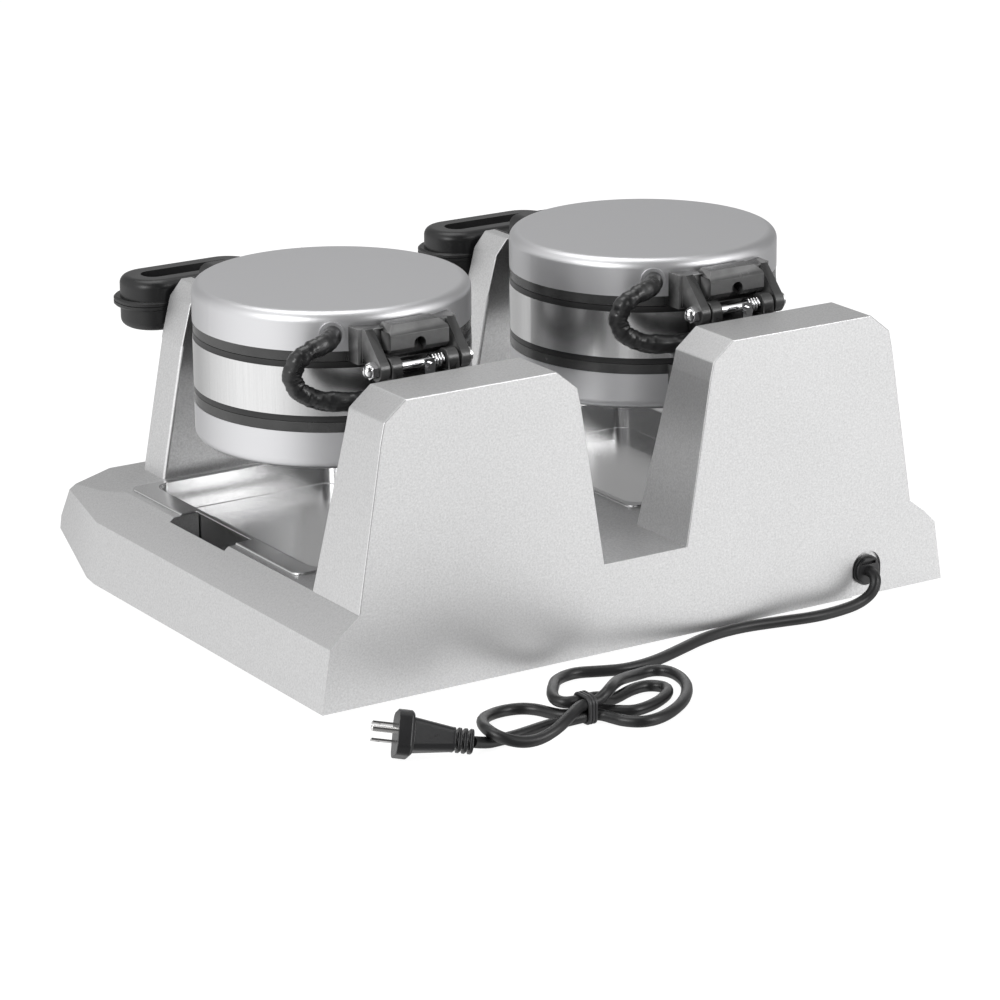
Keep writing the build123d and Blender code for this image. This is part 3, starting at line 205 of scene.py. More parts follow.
def make_metal_grain() -> bpy.types.NodeTree:
    """Builds the group for blasted and brushed sheet metal.

    Returns:
        A group that gives Color, Roughness and Height from speckle, brush lines and faint clouds.
    """
    inputs = {
        "Coordinates": "NodeSocketVector",
        "Stretch": "NodeSocketVector",
        "Color": "NodeSocketColor",
        "Roughness": "NodeSocketFloat",
        "Speckle": "NodeSocketFloat",
        "Lines": "NodeSocketFloat",
        "Clouds": "NodeSocketFloat",
    }
    outputs = {"Color": "NodeSocketColor", "Roughness": "NodeSocketFloat", "Height": "NodeSocketFloat"}
    w, given, result = new_group("metal grain", inputs, outputs)
    place = given.outputs["Coordinates"]
    dots = {"Vector": place, "Scale": SPECKLE_SCALE, "Detail": 3.0, "Roughness": 0.7}
    speckle = w.add("ShaderNodeTexNoise", dots)
    drawn = w.add("ShaderNodeVectorMath", {0: place, 1: given.outputs["Stretch"]}, operation="MULTIPLY")
    lines = w.add("ShaderNodeTexNoise", {"Vector": drawn.outputs[0], "Scale": LINE_SCALE, "Detail": 2.0})
    clouds = w.add("ShaderNodeTexNoise", {"Vector": place, "Scale": CLOUD_SCALE, "Detail": 3.0})
    total = None
    for texture, amount in ((speckle, "Speckle"), (lines, "Lines"), (clouds, "Clouds")):
        centred = w.math("SUBTRACT", texture.outputs[0], 0.5)
        part = w.math("MULTIPLY", centred, given.outputs[amount])
        total = part if total is None else w.math("ADD", total, part)
    bright = w.math("ADD", total, 1.0)
    tinted = w.add("ShaderNodeVectorMath", {0: given.outputs["Color"], "Scale": bright}, operation="SCALE")
    rough = w.math("SUBTRACT", given.outputs["Roughness"], w.math("MULTIPLY", total, 0.5))
    w.put(result, "Color", tinted.outputs[0])
    w.put(result, "Roughness", rough)
    w.put(result, "Height", w.math("ADD", total, 0.5))
    return w.tree


def make_skin_texture() -> bpy.types.NodeTree:
    """Builds the group for moulded plastic, rubber and paint.

    Returns:
        A group that gives Color, Roughness and Height from a fine orange peel, patches, and convex edges
        turned lighter in patches: edge wear and a painted edge highlight.
    """
    inputs = {
        "Coordinates": "NodeSocketVector",
        "Color": "NodeSocketColor",
        "Sheen And Wear Color": "NodeSocketColor",
        "Roughness": "NodeSocketFloat",
        "Peel Scale": "NodeSocketFloat",
        "Sheen And Wear": "NodeSocketFloat",
    }
    outputs = {"Color": "NodeSocketColor", "Roughness": "NodeSocketFloat", "Height": "NodeSocketFloat"}
    w, given, result = new_group("skin texture", inputs, outputs)
    place = given.outputs["Coordinates"]
    peel = w.add("ShaderNodeTexNoise", {"Vector": place, "Scale": given.outputs["Peel Scale"], "Detail": 2.0})
    blots = {"Vector": place, "Scale": PATCH_SCALE, "Detail": 5.0, "Roughness": 0.6}
    patch = w.add("ShaderNodeTexNoise", blots)
    pointy = w.add("ShaderNodeNewGeometry").outputs["Pointiness"]
    # Painted edge highlight and edge wear: convex edges, in patches, mix towards the lighter colour.
    limits = {"Value": pointy, "From Min": EDGE_SHEEN_AND_WEAR_START, "From Max": EDGE_SHEEN_AND_WEAR_END}
    edge = w.add("ShaderNodeMapRange", limits).outputs[0]
    sheened_and_worn = w.math("MULTIPLY", w.math("MULTIPLY", edge, patch.outputs[0]), given.outputs["Sheen And Wear"], clamp=True)
    color = w.add("ShaderNodeMix", data_type="RGBA")
    for key, value in ((0, sheened_and_worn), (6, given.outputs["Color"]), (7, given.outputs["Sheen And Wear Color"])):
        w.put(color, key, value)
    spread = w.math("MULTIPLY", w.math("SUBTRACT", patch.outputs[0], 0.5), PATCH_ROUGHNESS)
    w.put(result, "Color", color.outputs[2])
    w.put(result, "Roughness", w.math("ADD", given.outputs["Roughness"], spread))
    w.put(result, "Height", peel.outputs[0])
    return w.tree


GRAIN = make_metal_grain()
SKIN = make_skin_texture()


def start_material(
    name: str,
) -> tuple[bpy.types.Material, Wiring, bpy.types.Node, bpy.types.NodeSocket]:
    """Starts a material with its shader and its Object coordinates.

    Args:
        name: The material's name.

    Returns:
        The material, its wiring, its Principled BSDF and the coordinates' socket.
    """
    material = bpy.data.materials.new(name)
    w = clear_wiring(material)
    shader = w.add("ShaderNodeBsdfPrincipled")
    w.add("ShaderNodeOutputMaterial", {"Surface": shader.outputs[0]})
    return material, w, shader, w.add("ShaderNodeTexCoord").outputs["Object"]


def join_bump(
    w: Wiring, shader: bpy.types.Node, height: bpy.types.NodeSocket, strength: float, depth: float
) -> None:
    """Feeds a height to the shader's normal.

    Args:
        w: The material's wiring.
        shader: The Principled BSDF.
        height: The height's socket.
        strength: The bump's strength from 0 to 1.
        depth: The bump's depth in metres.
    """
    bump = w.add("ShaderNodeBump", {"Strength": strength, "Distance": depth, "Height": height})
    w.put(shader, "Normal", bump.outputs[0])


@dataclass(frozen=True)
class MetalFinish:
    """A bare metal with speckle, brush lines and faint clouds."""

    name: str
    color: tuple[float, float, float]
    roughness: float
    speckle: float = 0.1
    lines: float = 0.0
    clouds: float = 0.06
    stretch: tuple[float, float, float] = (1.0, 1.0, 1.0)
    bump: float = 0.25

    def build(self) -> bpy.types.Material:
        """Builds the material."""
        material, w, shader, place = start_material(self.name)
        grain = w.add("ShaderNodeGroup", node_tree=GRAIN)
        values = {
            "Coordinates": place,
            "Stretch": self.stretch,
            "Color": (*self.color, 1.0),
            "Roughness": self.roughness,
            "Speckle": self.speckle,
            "Lines": self.lines,
            "Clouds": self.clouds,
        }
        for key, value in values.items():
            w.put(grain, key, value)
        w.put(shader, "Base Color", grain.outputs["Color"])
        w.put(shader, "Roughness", grain.outputs["Roughness"])
        w.put(shader, "Metallic", 1.0)
        join_bump(w, shader, grain.outputs["Height"], self.bump, METAL_BUMP_DEPTH)
        return material


@dataclass(frozen=True)
class SkinFinish:
    """Moulded plastic, rubber, paint or a baked coating."""

    name: str
    color: tuple[float, float, float]
    roughness: float
    # Lighter colour on convex edges: edge wear and a painted edge highlight.
    sheened_and_worn: tuple[float, float, float] = (0.12, 0.12, 0.12)
    sheen_and_wear: float = 0.5
    peel_scale: float = 900.0
    bump: float = 0.15
    specular: float = 0.5

    def build(self) -> bpy.types.Material:
        """Builds the material."""
        material, w, shader, place = start_material(self.name)
        skin = w.add("ShaderNodeGroup", node_tree=SKIN)
        values = {
            "Coordinates": place,
            "Color": (*self.color, 1.0),
            "Sheen And Wear Color": (*self.sheened_and_worn, 1.0),
            "Roughness": self.roughness,
            "Peel Scale": self.peel_scale,
            "Sheen And Wear": self.sheen_and_wear,
        }
        for key, value in values.items():
            w.put(skin, key, value)
        w.put(shader, "Base Color", skin.outputs["Color"])
        w.put(shader, "Roughness", skin.outputs["Roughness"])
        w.put(shader, "Specular IOR Level", self.specular)
        join_bump(w, shader, skin.outputs["Height"], self.bump, SKIN_BUMP_DEPTH)
        return material


@dataclass(frozen=True)
class LensFinish:
    """A tinted lens with moulded ribs in it."""

    name: str
    color: tuple[float, float, float]
    rib_share: float = 0.55
    roughness: tuple[float, float] = (0.08, 0.2)
    coat: float = 0.6
    bump: float = 0.3

    def build(self) -> bpy.types.Material:
        """Builds the material."""
        material, w, shader, place = start_material(self.name)
        ribs = w.add("ShaderNodeTexWave", {"Vector": place, "Scale": RIB_SCALE, "Distortion": 0.5})
        tint = w.add("ShaderNodeMix", data_type="RGBA")
        dark = tuple(self.rib_share * c for c in self.color)
        for key, value in ((0, ribs.outputs[1]), (6, (*dark, 1.0)), (7, (*self.color, 1.0))):
            w.put(tint, key, value)
        w.put(shader, "Base Color", tint.outputs[2])
        w.put(shader, "Roughness", w.spread(ribs.outputs[1], *self.roughness))
        w.put(shader, "Coat Weight", self.coat)
        join_bump(w, shader, ribs.outputs[1], self.bump, RIB_BUMP_DEPTH)
        return material


class Finish(Enum):
    """Every finish of the machine, by the piece that shows it."""

    SATIN_SHEET = MetalFinish("satin_sheet", (0.62, 0.62, 0.622), 0.42, speckle=0.6, clouds=0.05, bump=0.35)
    LID_STEEL = MetalFinish(
        "lid_steel", (0.6, 0.6, 0.602), 0.2, speckle=0.12, lines=0.1, clouds=0.08,
        stretch=(1.0, 0.02, 1.0), bump=0.15,
    )
    BAND_STEEL = MetalFinish(
        "band_steel", (0.6, 0.6, 0.602), 0.25, speckle=0.1, lines=0.14, stretch=(1.0, 1.0, 0.02),
        bump=0.15,
    )
    TRAY_STEEL = MetalFinish("tray_steel", (0.6, 0.6, 0.602), 0.24, speckle=0.08, clouds=0.08, bump=0.15)
    CHROME = MetalFinish("bright_chrome", (0.78, 0.78, 0.79), 0.1, speckle=0.03, clouds=0.1, bump=0.1)
    TURNED_STEEL = MetalFinish(
        "turned_steel", (0.45, 0.45, 0.46), 0.3, lines=0.25, stretch=(1.0, 0.02, 1.0),
    )
    PLATED_BLADE = MetalFinish("plated_blade", (0.74, 0.73, 0.72), 0.16, speckle=0.05, lines=0.08)
    BEARING_IRON = MetalFinish("bearing_iron", (0.2, 0.2, 0.2), 0.55, speckle=0.4, clouds=0.3, bump=0.6)
    HEATER_CAST = MetalFinish("heater_cast", (0.5, 0.5, 0.51), 0.5, speckle=0.35, clouds=0.25, bump=0.5)
    THERMOSTAT_CAN = MetalFinish("thermostat_can", (0.5, 0.5, 0.49), 0.35, clouds=0.15)
    RING_PAINT = SkinFinish("ring_paint", (0.01, 0.01, 0.0105), 0.34, sheen_and_wear=0.3, bump=0.08, specular=0.35)
    # The cast paint's convex edges turn strongly lighter: edge wear and a painted edge highlight.
    CAST_PAINT = SkinFinish(
        "cast_paint", (0.011, 0.011, 0.011), 0.24, sheened_and_worn=(0.3, 0.3, 0.3), sheen_and_wear=1.2, peel_scale=700.0,
        bump=0.3,
    )
    HANDLE_PLASTIC = SkinFinish(
        "handle_plastic", (0.011, 0.011, 0.0115), 0.33, sheen_and_wear=0.2, peel_scale=1500.0, bump=0.12,
        specular=0.4,
    )
    GRID_COATING = SkinFinish(
        "grid_coating", (0.035, 0.035, 0.037), 0.42, sheen_and_wear=0.6, peel_scale=1100.0, bump=0.25,
        specular=0.6,
    )
    SLEEVE = SkinFinish(
        "cable_sleeve", (0.01, 0.01, 0.0105), 0.3, sheened_and_worn=(0.09, 0.09, 0.09), sheen_and_wear=0.8, peel_scale=420.0,
        bump=0.35,
    )
    CORD_JACKET = SkinFinish(
        "cord_jacket", (0.014, 0.014, 0.0145), 0.36, sheen_and_wear=0.1, peel_scale=700.0, bump=0.12, specular=0.4,
    )
    PLUG_PLASTIC = SkinFinish("plug_plastic", (0.014, 0.014, 0.015), 0.3, sheen_and_wear=0.4, peel_scale=1200.0)
    TIE_PLASTIC = SkinFinish("tie_plastic", (0.03, 0.03, 0.032), 0.45, sheen_and_wear=0.4, peel_scale=800.0)
    LINER_PLASTIC = SkinFinish("liner_plastic", (0.03, 0.03, 0.03), 0.5, sheen_and_wear=0.3)
    FOOT_RUBBER = SkinFinish("foot_rubber", (0.02, 0.02, 0.02), 0.75, sheen_and_wear=0.4, bump=0.4, specular=0.3)
    FACIA = SkinFinish("facia_film", (0.045, 0.045, 0.05), 0.45, sheen_and_wear=0.2, peel_scale=1800.0, bump=0.1)
    FACIA_MARK = SkinFinish("facia_mark", (0.75, 0.75, 0.75), 0.5, sheen_and_wear=0.1, peel_scale=1800.0, bump=0.05)
    DIAL_PLASTIC = SkinFinish("dial_plastic", (0.02, 0.02, 0.02), 0.3, sheen_and_wear=0.6, peel_scale=1400.0)
    ROCKER_PLASTIC = SkinFinish("rocker_plastic", (0.025, 0.025, 0.025), 0.22, sheen_and_wear=0.4, peel_scale=1400.0)
    LENS_AMBER = LensFinish("lens_amber", (0.75, 0.2, 0.02))
    LENS_GREEN = LensFinish("lens_green", (0.06, 0.45, 0.1))

    def material(self) -> bpy.types.Material:
        """Gives this finish's material, built on first use."""
        return bpy.data.materials.get(self.value.name) or self.value.build()


@dataclass(frozen=True)
class Rounding:
    """How the corners of a piece are rounded, in metres and degrees.

    Only edges that turn by more than least_turn are rounded. Flat edges at the heights in seams are
    rounded by SEAM_RADIUS instead, so that a joint stays tight.
    """

    radius: float
    segments: int = 3
    least_turn: float = 12.0
    seams: tuple[float, ...] = ()


class Corner(Enum):
    """Every rounding of the machine, by what has it."""

    BENT_SHEET = Rounding(0.0016, 4)
    UPRIGHT_SHEET = Rounding(0.0026, 4, seams=(TOWER_SEAM_HEIGHT, POST_SEAM_HEIGHT, BASE_TOP_HEIGHT))
    FINE_EDGE = Rounding(0.0006)
    THIN_PLATE = Rounding(0.0004, 2, 40.0)
    CAST_HUB = Rounding(0.001, 3, 30.0)
    SOFT_EDGE = Rounding(0.0008, 3, 30.0)
    MOULDED_PLUG = Rounding(0.0006, 3, 30.0)
    BUSHING = Rounding(0.0005, 2, 40.0)
    CABLE_TIE = Rounding(0.0003, 2, 40.0)
    DIAL_GRIP = Rounding(0.0003, 2, 30.0)
    ROCKER = Rounding(0.0006, 3, 8.0)
    LENS = Rounding(0.0002, 2, 50.0)


# Mesh helpers

def settle(piece: bpy.types.Object, body: str, finish: Finish) -> bpy.types.Object:
    """Gives a new piece its finish and its body.

    Args:
        piece: The piece, with its place in its mesh.
        body: The CAD body that it rides on.
        finish: Its finish.

    Returns:
        The same piece.
    """
    if not piece.data.materials:
        piece.data.materials.append(finish.material())
    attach(piece, body)
    log.info("%s: %d faces on %s", piece.name, len(getattr(piece.data, "polygons", ())), body)
    return piece


def finish_mesh(mesh: bmesh.types.BMesh, name: str, body: str, finish: Finish) -> bpy.types.Object:
    """Turns a bmesh into a smooth-shaded piece on a body.

    Args:
        mesh: The shape, which is freed here.
        name: The piece's name.
        body: The CAD body that it rides on.
        finish: Its finish.

    Returns:
        The new piece.
    """
    data = bpy.data.meshes.new(name)
    mesh.to_mesh(data)
    mesh.free()
    data.shade_smooth()
    data.set_sharp_from_angle(angle=math.radians(SHARP_ANGLE))
    piece = bpy.data.objects.new(name, data)
    bpy.context.scene.collection.objects.link(piece)
    flat = piece.modifiers.new("flat faces", "WEIGHTED_NORMAL")
    flat.keep_sharp = True
    return settle(piece, body, finish)


def rounded_copy(node: str, finish: Finish, corner: Corner) -> bpy.types.Object:
    """Makes a copy of a CAD node with its corners rounded, which stands for the node.

    Args:
        node: The CAD node's name.
        finish: The copy's finish.
        corner: The rounding of its corners.

    Returns:
        The new piece.
    """
    rounding = corner.value
    mesh = bmesh.new()
    mesh.from_mesh(frame["nodes"][node].data)
    bmesh.ops.remove_doubles(mesh, verts=mesh.verts, dist=MERGE_DISTANCE)
    bmesh.ops.dissolve_limit(
        mesh, angle_limit=math.radians(FLAT_ANGLE), verts=mesh.verts, edges=mesh.edges
    )
    least = math.radians(rounding.least_turn)
    for width, at_seam in ((rounding.radius, False), (SEAM_RADIUS, True)):
        turned = [e for e in mesh.edges if e.is_manifold and e.calc_face_angle(0.0) > least]
        tight = {
            e
            for e in turned
            for z in rounding.seams
            if all(abs(v.co.z - z) < SEAM_REACH for v in e.verts)
        }
        bmesh.ops.bevel(
            mesh,
            geom=[e for e in turned if (e in tight) == at_seam],
            offset=width,
            offset_type="OFFSET",
            segments=rounding.segments,
            profile=0.5,
            affect="EDGES",
            clamp_overlap=True,
            material=-1,
        )
        if not rounding.seams:
            break
    body = frame["nodes"][node]["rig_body"]
    piece = finish_mesh(mesh, f"{node}_finished", body, finish)
    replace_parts(piece, node)
    return piece


def dress(node: str, finish: Finish) -> None:
    """Gives a CAD node a finish and leaves its mesh as it is.

    Args:
        node: The CAD node's name.
        finish: Its finish.
    """
    materials = frame["nodes"][node].data.materials
    materials.clear()
    materials.append(finish.material())
    log.info("%s: CAD node with %s", node, finish.name)


def smooth_line(points: list[tuple[float, float, float]], name: str, radius: float = 0.0) -> bpy.types.Object:
    """Makes a NURBS curve with the given control points.

    Args:
        points: The route's points in metres.
        name: The curve's name.
        radius: The cord's radius, or 0 for a bare line.

    Returns:
        The curve's object.
    """
    data = bpy.data.curves.new(name, "CURVE")
    data.dimensions = "3D"
    data.resolution_u = 10
    data.bevel_depth = radius
    data.bevel_resolution = 5
    data.use_fill_caps = radius > 0
    spline = data.splines.new("NURBS")
    spline.points.add(len(points) - 1)
    for control, point in zip(spline.points, points):
        control.co = (*point, 1.0)
    spline.order_u = 3
    spline.use_endpoint_u = True
    piece = bpy.data.objects.new(name, data)
    bpy.context.scene.collection.objects.link(piece)
    return piece


# Sub-assemblies

@dataclass
class PowerCord:
    """The power cord: one smooth line from its bushing through the tied bundle to its plug."""

    radius: float = 0.0045
    length: float = 1.32
    rear: Vector = field(default_factory=lambda: Vector((0.0, 245.0, 6.0)))
    laid: float = -1.3
    low: float = 0.1
    high: float = 9.6
    front: float = 109.75
    back: float = 100.25

    def route(self) -> list[tuple[float, float, float]]:
        """Gives the route's points in metres, the same as the part's source has."""
        laid, low, high, front, back = self.laid, self.low, self.high, self.front, self.back
        points = [
            (-214.5, 3, 21), (-214.5, 13, 21), (-210, 17, 9), (-198, 16, 1), (-179, 17, laid),
            (-150, 19, laid), (-118, 12, laid), (-84, 6, laid), (-50, 10, laid), (-16, 23, laid),
            (15, 34.5, laid), (43, 37.5, laid), (63, 30, laid), (79, 22.5, laid), (93, 24, laid),
            (107, 34, 0.5), (119, 51, 4.5), (130, 66, 8), (138.5, 79, high), (143, 90, high),
            (140.5, 98, high), (133, back, high), (119.5, back, high), (111, 99, 8.6), (104, 96, 4.8),
            (97, 92, 0.8), (85, 86, laid), (66, 77, laid), (50, 76, laid), (41, 87, laid),
            (47, 99, laid), (63, 110, laid), (79, 116, laid), (91, 117, laid), (101, 110, laid),
            (110, 102.5, -1), (119.5, back, low), (132.5, back, low), (140.5, 96, -0.9), (145, 86, laid),
            (149, 74, laid), (158, 65, laid), (173, 62, laid), (189, 68, 0), (203, 83, 4), (213, 100, 8),
            (218, 114, 9.2), (214, 126, 6), (200, 132, 1), (185, 134, 1), (169, 132, 5), (153, 124, 9),
            (142, 115.5, high), (132.5, front, high), (119.5, front, high), (111, 109, 13.8),
            (104, 104.5, 15.4), (96, 97, 14.6), (86, 86.5, 11.6), (76, 76, 8), (62, 64, 3.5),
            (43, 52, laid), (29, 50, laid), (19, 58, laid), (19, 75, laid), (27, 96, laid),
            (45, 118, laid), (66, 133, laid), (85, 141, laid), (99, 140, laid), (108.5, 131, laid),
            (112, 121, laid), (115.5, 113, -0.6), (121, front, low), (132.5, front, low),
            (146, 108, -0.8), (162, 107, laid), (178, 110, laid), (193, 112.5, laid), (207, 113, laid),
            (220, 114.5, laid + 0.6), (234, 119, 4.8),
        ]
        return [tuple((Vector(p) + self.rear) / 1000) for p in points]

    def build(self) -> None:
        """Builds the cord and dresses the pieces on it."""
        points = self.route()
        cord = smooth_line(points, "power_cord", self.radius)
        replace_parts(cord, "cord_lead", "cord_hank")
        settle(cord, "base", Finish.CORD_JACKET)
        tie = rounded_copy("cord_tie", Finish.TIE_PLASTIC, Corner.CABLE_TIE)
        plug = rounded_copy("plug_body", Finish.PLUG_PLASTIC, Corner.MOULDED_PLUG)
        dress("plug_prongs", Finish.PLATED_BLADE)
        rounded_copy("strain_relief", Finish.PLUG_PLASTIC, Corner.BUSHING)


@dataclass
class SheetBase:
    """The bent sheet base with its bottom plate and feet."""

    def build(self) -> None:
        """Builds every piece of the base."""
        rounded_copy("base_shell", Finish.SATIN_SHEET, Corner.BENT_SHEET)
        rounded_copy("base_bottom_plate", Finish.SATIN_SHEET, Corner.THIN_PLATE)
        rounded_copy("rubber_feet", Finish.FOOT_RUBBER, Corner.SOFT_EDGE)


@dataclass
class Uprights:
    """Rear towers and front posts with their caps, cradle liners and bearings."""

    def build(self) -> None:
        """Builds every piece of the uprights."""
        for node in ("rear_towers", "front_posts", "upright_caps"):
            rounded_copy(node, Finish.SATIN_SHEET, Corner.UPRIGHT_SHEET)
        rounded_copy("cradle_liners", Finish.LINER_PLASTIC, Corner.THIN_PLATE)
        dress("rear_bearings", Finish.BEARING_IRON)


@dataclass
class ControlFace:
    """The front face: its plate, dials with their marks, rockers, lights and thermostats."""

    origin: Vector = field(default_factory=lambda: Vector((0.0, -0.2095, 0.0575)))
    normal: Vector = field(default_factory=lambda: Vector((0.0, -0.87217, 0.48926)))
    dial_x: float = -0.040
    switch_x: float = 0.045
    head_x: float = 0.148
    lift: float = 0.0017
    mark_count: int = 7
    first_mark: float = 225.0
    mark_step: float = 45.0
    mark_reach: float = 0.0182
    mark_size: tuple[float, float, float, float] = (0.0024, 0.0007, 0.0002, 1.0)
    sign_x: float = 0.0155
    sign_height: float = 0.008
    bar_size: tuple[float, float, float, float] = (0.0007, 0.004, 0.0002, 1.0)
    disc_radius: float = 0.0018
    lens_split: float = 0.005

    def place(self, x: float) -> Matrix:
        """Gives the matrix that puts a flat shape on the face at x."""
        up = self.normal.cross(Vector((1.0, 0.0, 0.0)))
        turn = Matrix((Vector((1.0, 0.0, 0.0)), up, self.normal)).transposed().to_4x4()
        return Matrix.Translation(Vector((x, self.origin.y, self.origin.z))) @ turn

    def add_marks(self, side: float) -> bpy.types.Object:
        """Builds the strokes round one dial and beside its rocker.

        Args:
            side: +1 for the right head and -1 for the left.

        Returns:
            The piece.
        """
        mesh = bmesh.new()
        middle = self.place(side * self.head_x)
        for step in range(self.mark_count):
            angle = math.radians(self.first_mark - self.mark_step * step)
            turn = Matrix.Translation((self.dial_x, 0.0, self.lift)) @ Matrix.Rotation(angle, 4, "Z")
            stroke = turn @ Matrix.Translation((self.mark_reach, 0.0, 0.0)) @ Matrix.Diagonal(self.mark_size)
            bmesh.ops.create_cube(mesh, size=1.0, matrix=middle @ stroke)
        sign_x = self.switch_x + self.sign_x
        bar = Matrix.Translation((sign_x, self.sign_height, self.lift)) @ Matrix.Diagonal(self.bar_size)
        bmesh.ops.create_cube(mesh, size=1.0, matrix=middle @ bar)
        disc = Matrix.Translation((sign_x, -self.sign_height, self.lift))
        bmesh.ops.create_cone(
            mesh,
            cap_ends=True,
            segments=24,
            radius1=self.disc_radius,
            radius2=self.disc_radius,
            depth=self.bar_size[2],
            matrix=middle @ disc,
        )
        name = "right" if side > 0 else "left"
        return finish_mesh(mesh, f"{name}_dial_marks", "base", Finish.FACIA_MARK)

    def tint_lights(self) -> None:
        """Gives the first light of each head an amber lens and the second a green one."""
        lights = rounded_copy("indicator_lights", Finish.LENS_AMBER, Corner.LENS)
        lights.data.materials.append(Finish.LENS_GREEN.material())
        for face in lights.data.polygons:
            x = face.center.x
            offset = x - math.copysign(self.head_x, x)
            face.material_index = int(offset > self.lens_split)

    def build(self) -> None:
        """Builds every piece of the front face."""
        rounded_copy("control_panel", Finish.FACIA, Corner.THIN_PLATE)
        rounded_copy("switch_frames", Finish.ROCKER_PLASTIC, Corner.FINE_EDGE)
        dress("thermostats", Finish.THERMOSTAT_CAN)
        self.tint_lights()
        for name, side in SIDES.items():
            rounded_copy(f"{name}_dial", Finish.DIAL_PLASTIC, Corner.DIAL_GRIP)
            rounded_copy(f"{name}_power_switch", Finish.ROCKER_PLASTIC, Corner.ROCKER)
            self.add_marks(side)


@dataclass
class DripTray:
    """One drip tray with its rolled rim."""

    name: str

    def build(self) -> None:
        """Builds the tray."""
        rounded_copy(f"{self.name}_drip_tray", Finish.TRAY_STEEL, Corner.FINE_EDGE)


@dataclass
class SleevedCable:
    """A thick cable in a wrinkled sleeve, from a lid's boss round to the side of the hub."""

    name: str
    lid: str
    origin: Vector
    flip: float
    radius: float = 0.0075
    length: float = 0.146
    boss_reach: float = 113.0
    boss_height: float = 46.0
    boss_length: float = 20.0
    wrinkle: float = 0.0016
    crease_rate: float = 150.0
    crease_spread: float = 1.4
    crease_share: float = 0.75
    fine_rate: float = 420.0
    fine_spread: float = 4.0
    fine_share: float = 0.35
    smooth_ends: float = 12.0
    cap_share: float = 0.6

    def route(self) -> list[tuple[float, float, float]]:
        """Gives the route's points in metres, the same as the part's source has."""
        out = Vector((0.5, math.sqrt(0.75), 0.0))
        start = out * self.boss_reach + Vector((0.0, 0.0, self.boss_height))
        points = [
            start, start + out * self.boss_length,
            (95, 117, 41), (103, 112, 22), (90, 115, 5), (62, 128, 0), (30, 128, 0),
        ]
        turned = Vector((self.flip, 1.0, self.flip))
        return [tuple(self.origin + Vector(p) * turned / 1000) for p in points]

    def fold(self, mesh: bpy.types.Mesh, line: list[Vector]) -> None:
        """Pushes the tube's skin in and out, so that it creases across its bends.

        Args:
            mesh: The tube's mesh.
            line: Points along its middle.
        """
        tree = kdtree.KDTree(len(line))
        for i, point in enumerate(line):
            tree.insert(point, i)
        tree.balance()
        last = len(line) - 1
        for vertex in mesh.vertices:
            middle, i, _ = tree.find(vertex.co)
            along = i / last * self.length
            away = vertex.co - middle
            if away.length < self.radius * self.cap_share:
                continue
            out = away.normalized()
            wide, narrow = out * self.crease_spread, out * self.fine_spread
            crease = noise.noise(Vector((along * self.crease_rate, wide.x + self.flip, wide.z)))
            fine = noise.noise(Vector((along * self.fine_rate, narrow.x, narrow.z + self.flip)))
            ends = min(1.0, self.smooth_ends * min(i, last - i) / last)
            depth = self.crease_share * crease + self.fine_share * fine
            vertex.co += out * self.wrinkle * ends * depth

    def build(self, head: str) -> bpy.types.Object:
        """Builds the cable.

        Args:
            head: The CAD body at its far end, which only the log names; the cable is not put on it.

        Returns:
            The piece.
        """
        points = self.route()
        bare = smooth_line(points, "bare_line")
        bare.data.resolution_u = 24
        path = [v.co.copy() for v in bpy.data.meshes.new_from_object(bare).vertices]
        tube = smooth_line(points, "tube_line", self.radius)
        tube.data.resolution_u = 24
        tube.data.bevel_resolution = 8
        data = bpy.data.meshes.new_from_object(tube)
        data.name = self.name
        for used in (bare, tube):
            bpy.data.objects.remove(used)
        self.fold(data, path)
        data.shade_smooth()
        data.materials.append(Finish.SLEEVE.material())
        piece = bpy.data.objects.new(self.name, data)
        bpy.context.scene.collection.objects.link(piece)
        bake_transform(piece)
        log.info("%s: %d faces between %s and %s", self.name, len(data.polygons), head, self.lid)
        return piece


@dataclass
class WaffleHead:
    """One round head: the middle section, its hinge and its two lids."""

    name: str
    side: float
    axis: Vector = field(default_factory=lambda: Vector((0.0, 0.023, 0.212)))
    spacing: float = 0.148

    def middle(self) -> Vector:
        """Gives the middle of the head on its turning axis."""
        return self.axis + Vector((self.side * self.spacing, 0.0, 0.0))

    def build_middle(self) -> None:
        """Dresses the middle section and its hinge."""
        dress(f"{self.name}_center_band", Finish.BAND_STEEL)
        dress(f"{self.name}_center_rims", Finish.RING_PAINT)
        dress(f"{self.name}_center_grids", Finish.GRID_COATING)
        dress(f"{self.name}_center_heater", Finish.HEATER_CAST)
        dress(f"{self.name}_hinge_springs", Finish.CHROME)
        dress(f"{self.name}_rear_shaft", Finish.TURNED_STEEL)
        dress(f"{self.name}_front_trunnion", Finish.TURNED_STEEL)
        rounded_copy(f"{self.name}_hinge_hub", Finish.CAST_PAINT, Corner.CAST_HUB)
        rounded_copy(f"{self.name}_hinge_pins", Finish.CHROME, Corner.THIN_PLATE)

    def build_cables(self) -> None:
        """Builds the two sleeved cables, which stand for one CAD node."""
        node = f"{self.name}_lid_cables"
        for lid, flip in (("upper", 1.0), ("lower", -1.0)):
            stem = f"{self.name}_{lid}_lid"
            cable = SleevedCable(f"{stem}_cable", stem, self.middle(), flip)
            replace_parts(cable.build(f"{self.name}_head"), node)

    def build_lid(self, lid: str) -> None:
        """Dresses one lid.

        Args:
            lid: upper or lower.
        """
        stem = f"{self.name}_{lid}_lid"
        dress(f"{stem}_cover", Finish.LID_STEEL)
        rounded_copy(f"{stem}_frame", Finish.CAST_PAINT, Corner.SOFT_EDGE)
        dress(f"{stem}_grid", Finish.GRID_COATING)
        dress(f"{stem}_handle", Finish.HANDLE_PLASTIC)

    def build(self) -> None:
        """Builds every piece of the head."""
        self.build_middle()
        self.build_cables()
        for lid in ("upper", "lower"):
            self.build_lid(lid)


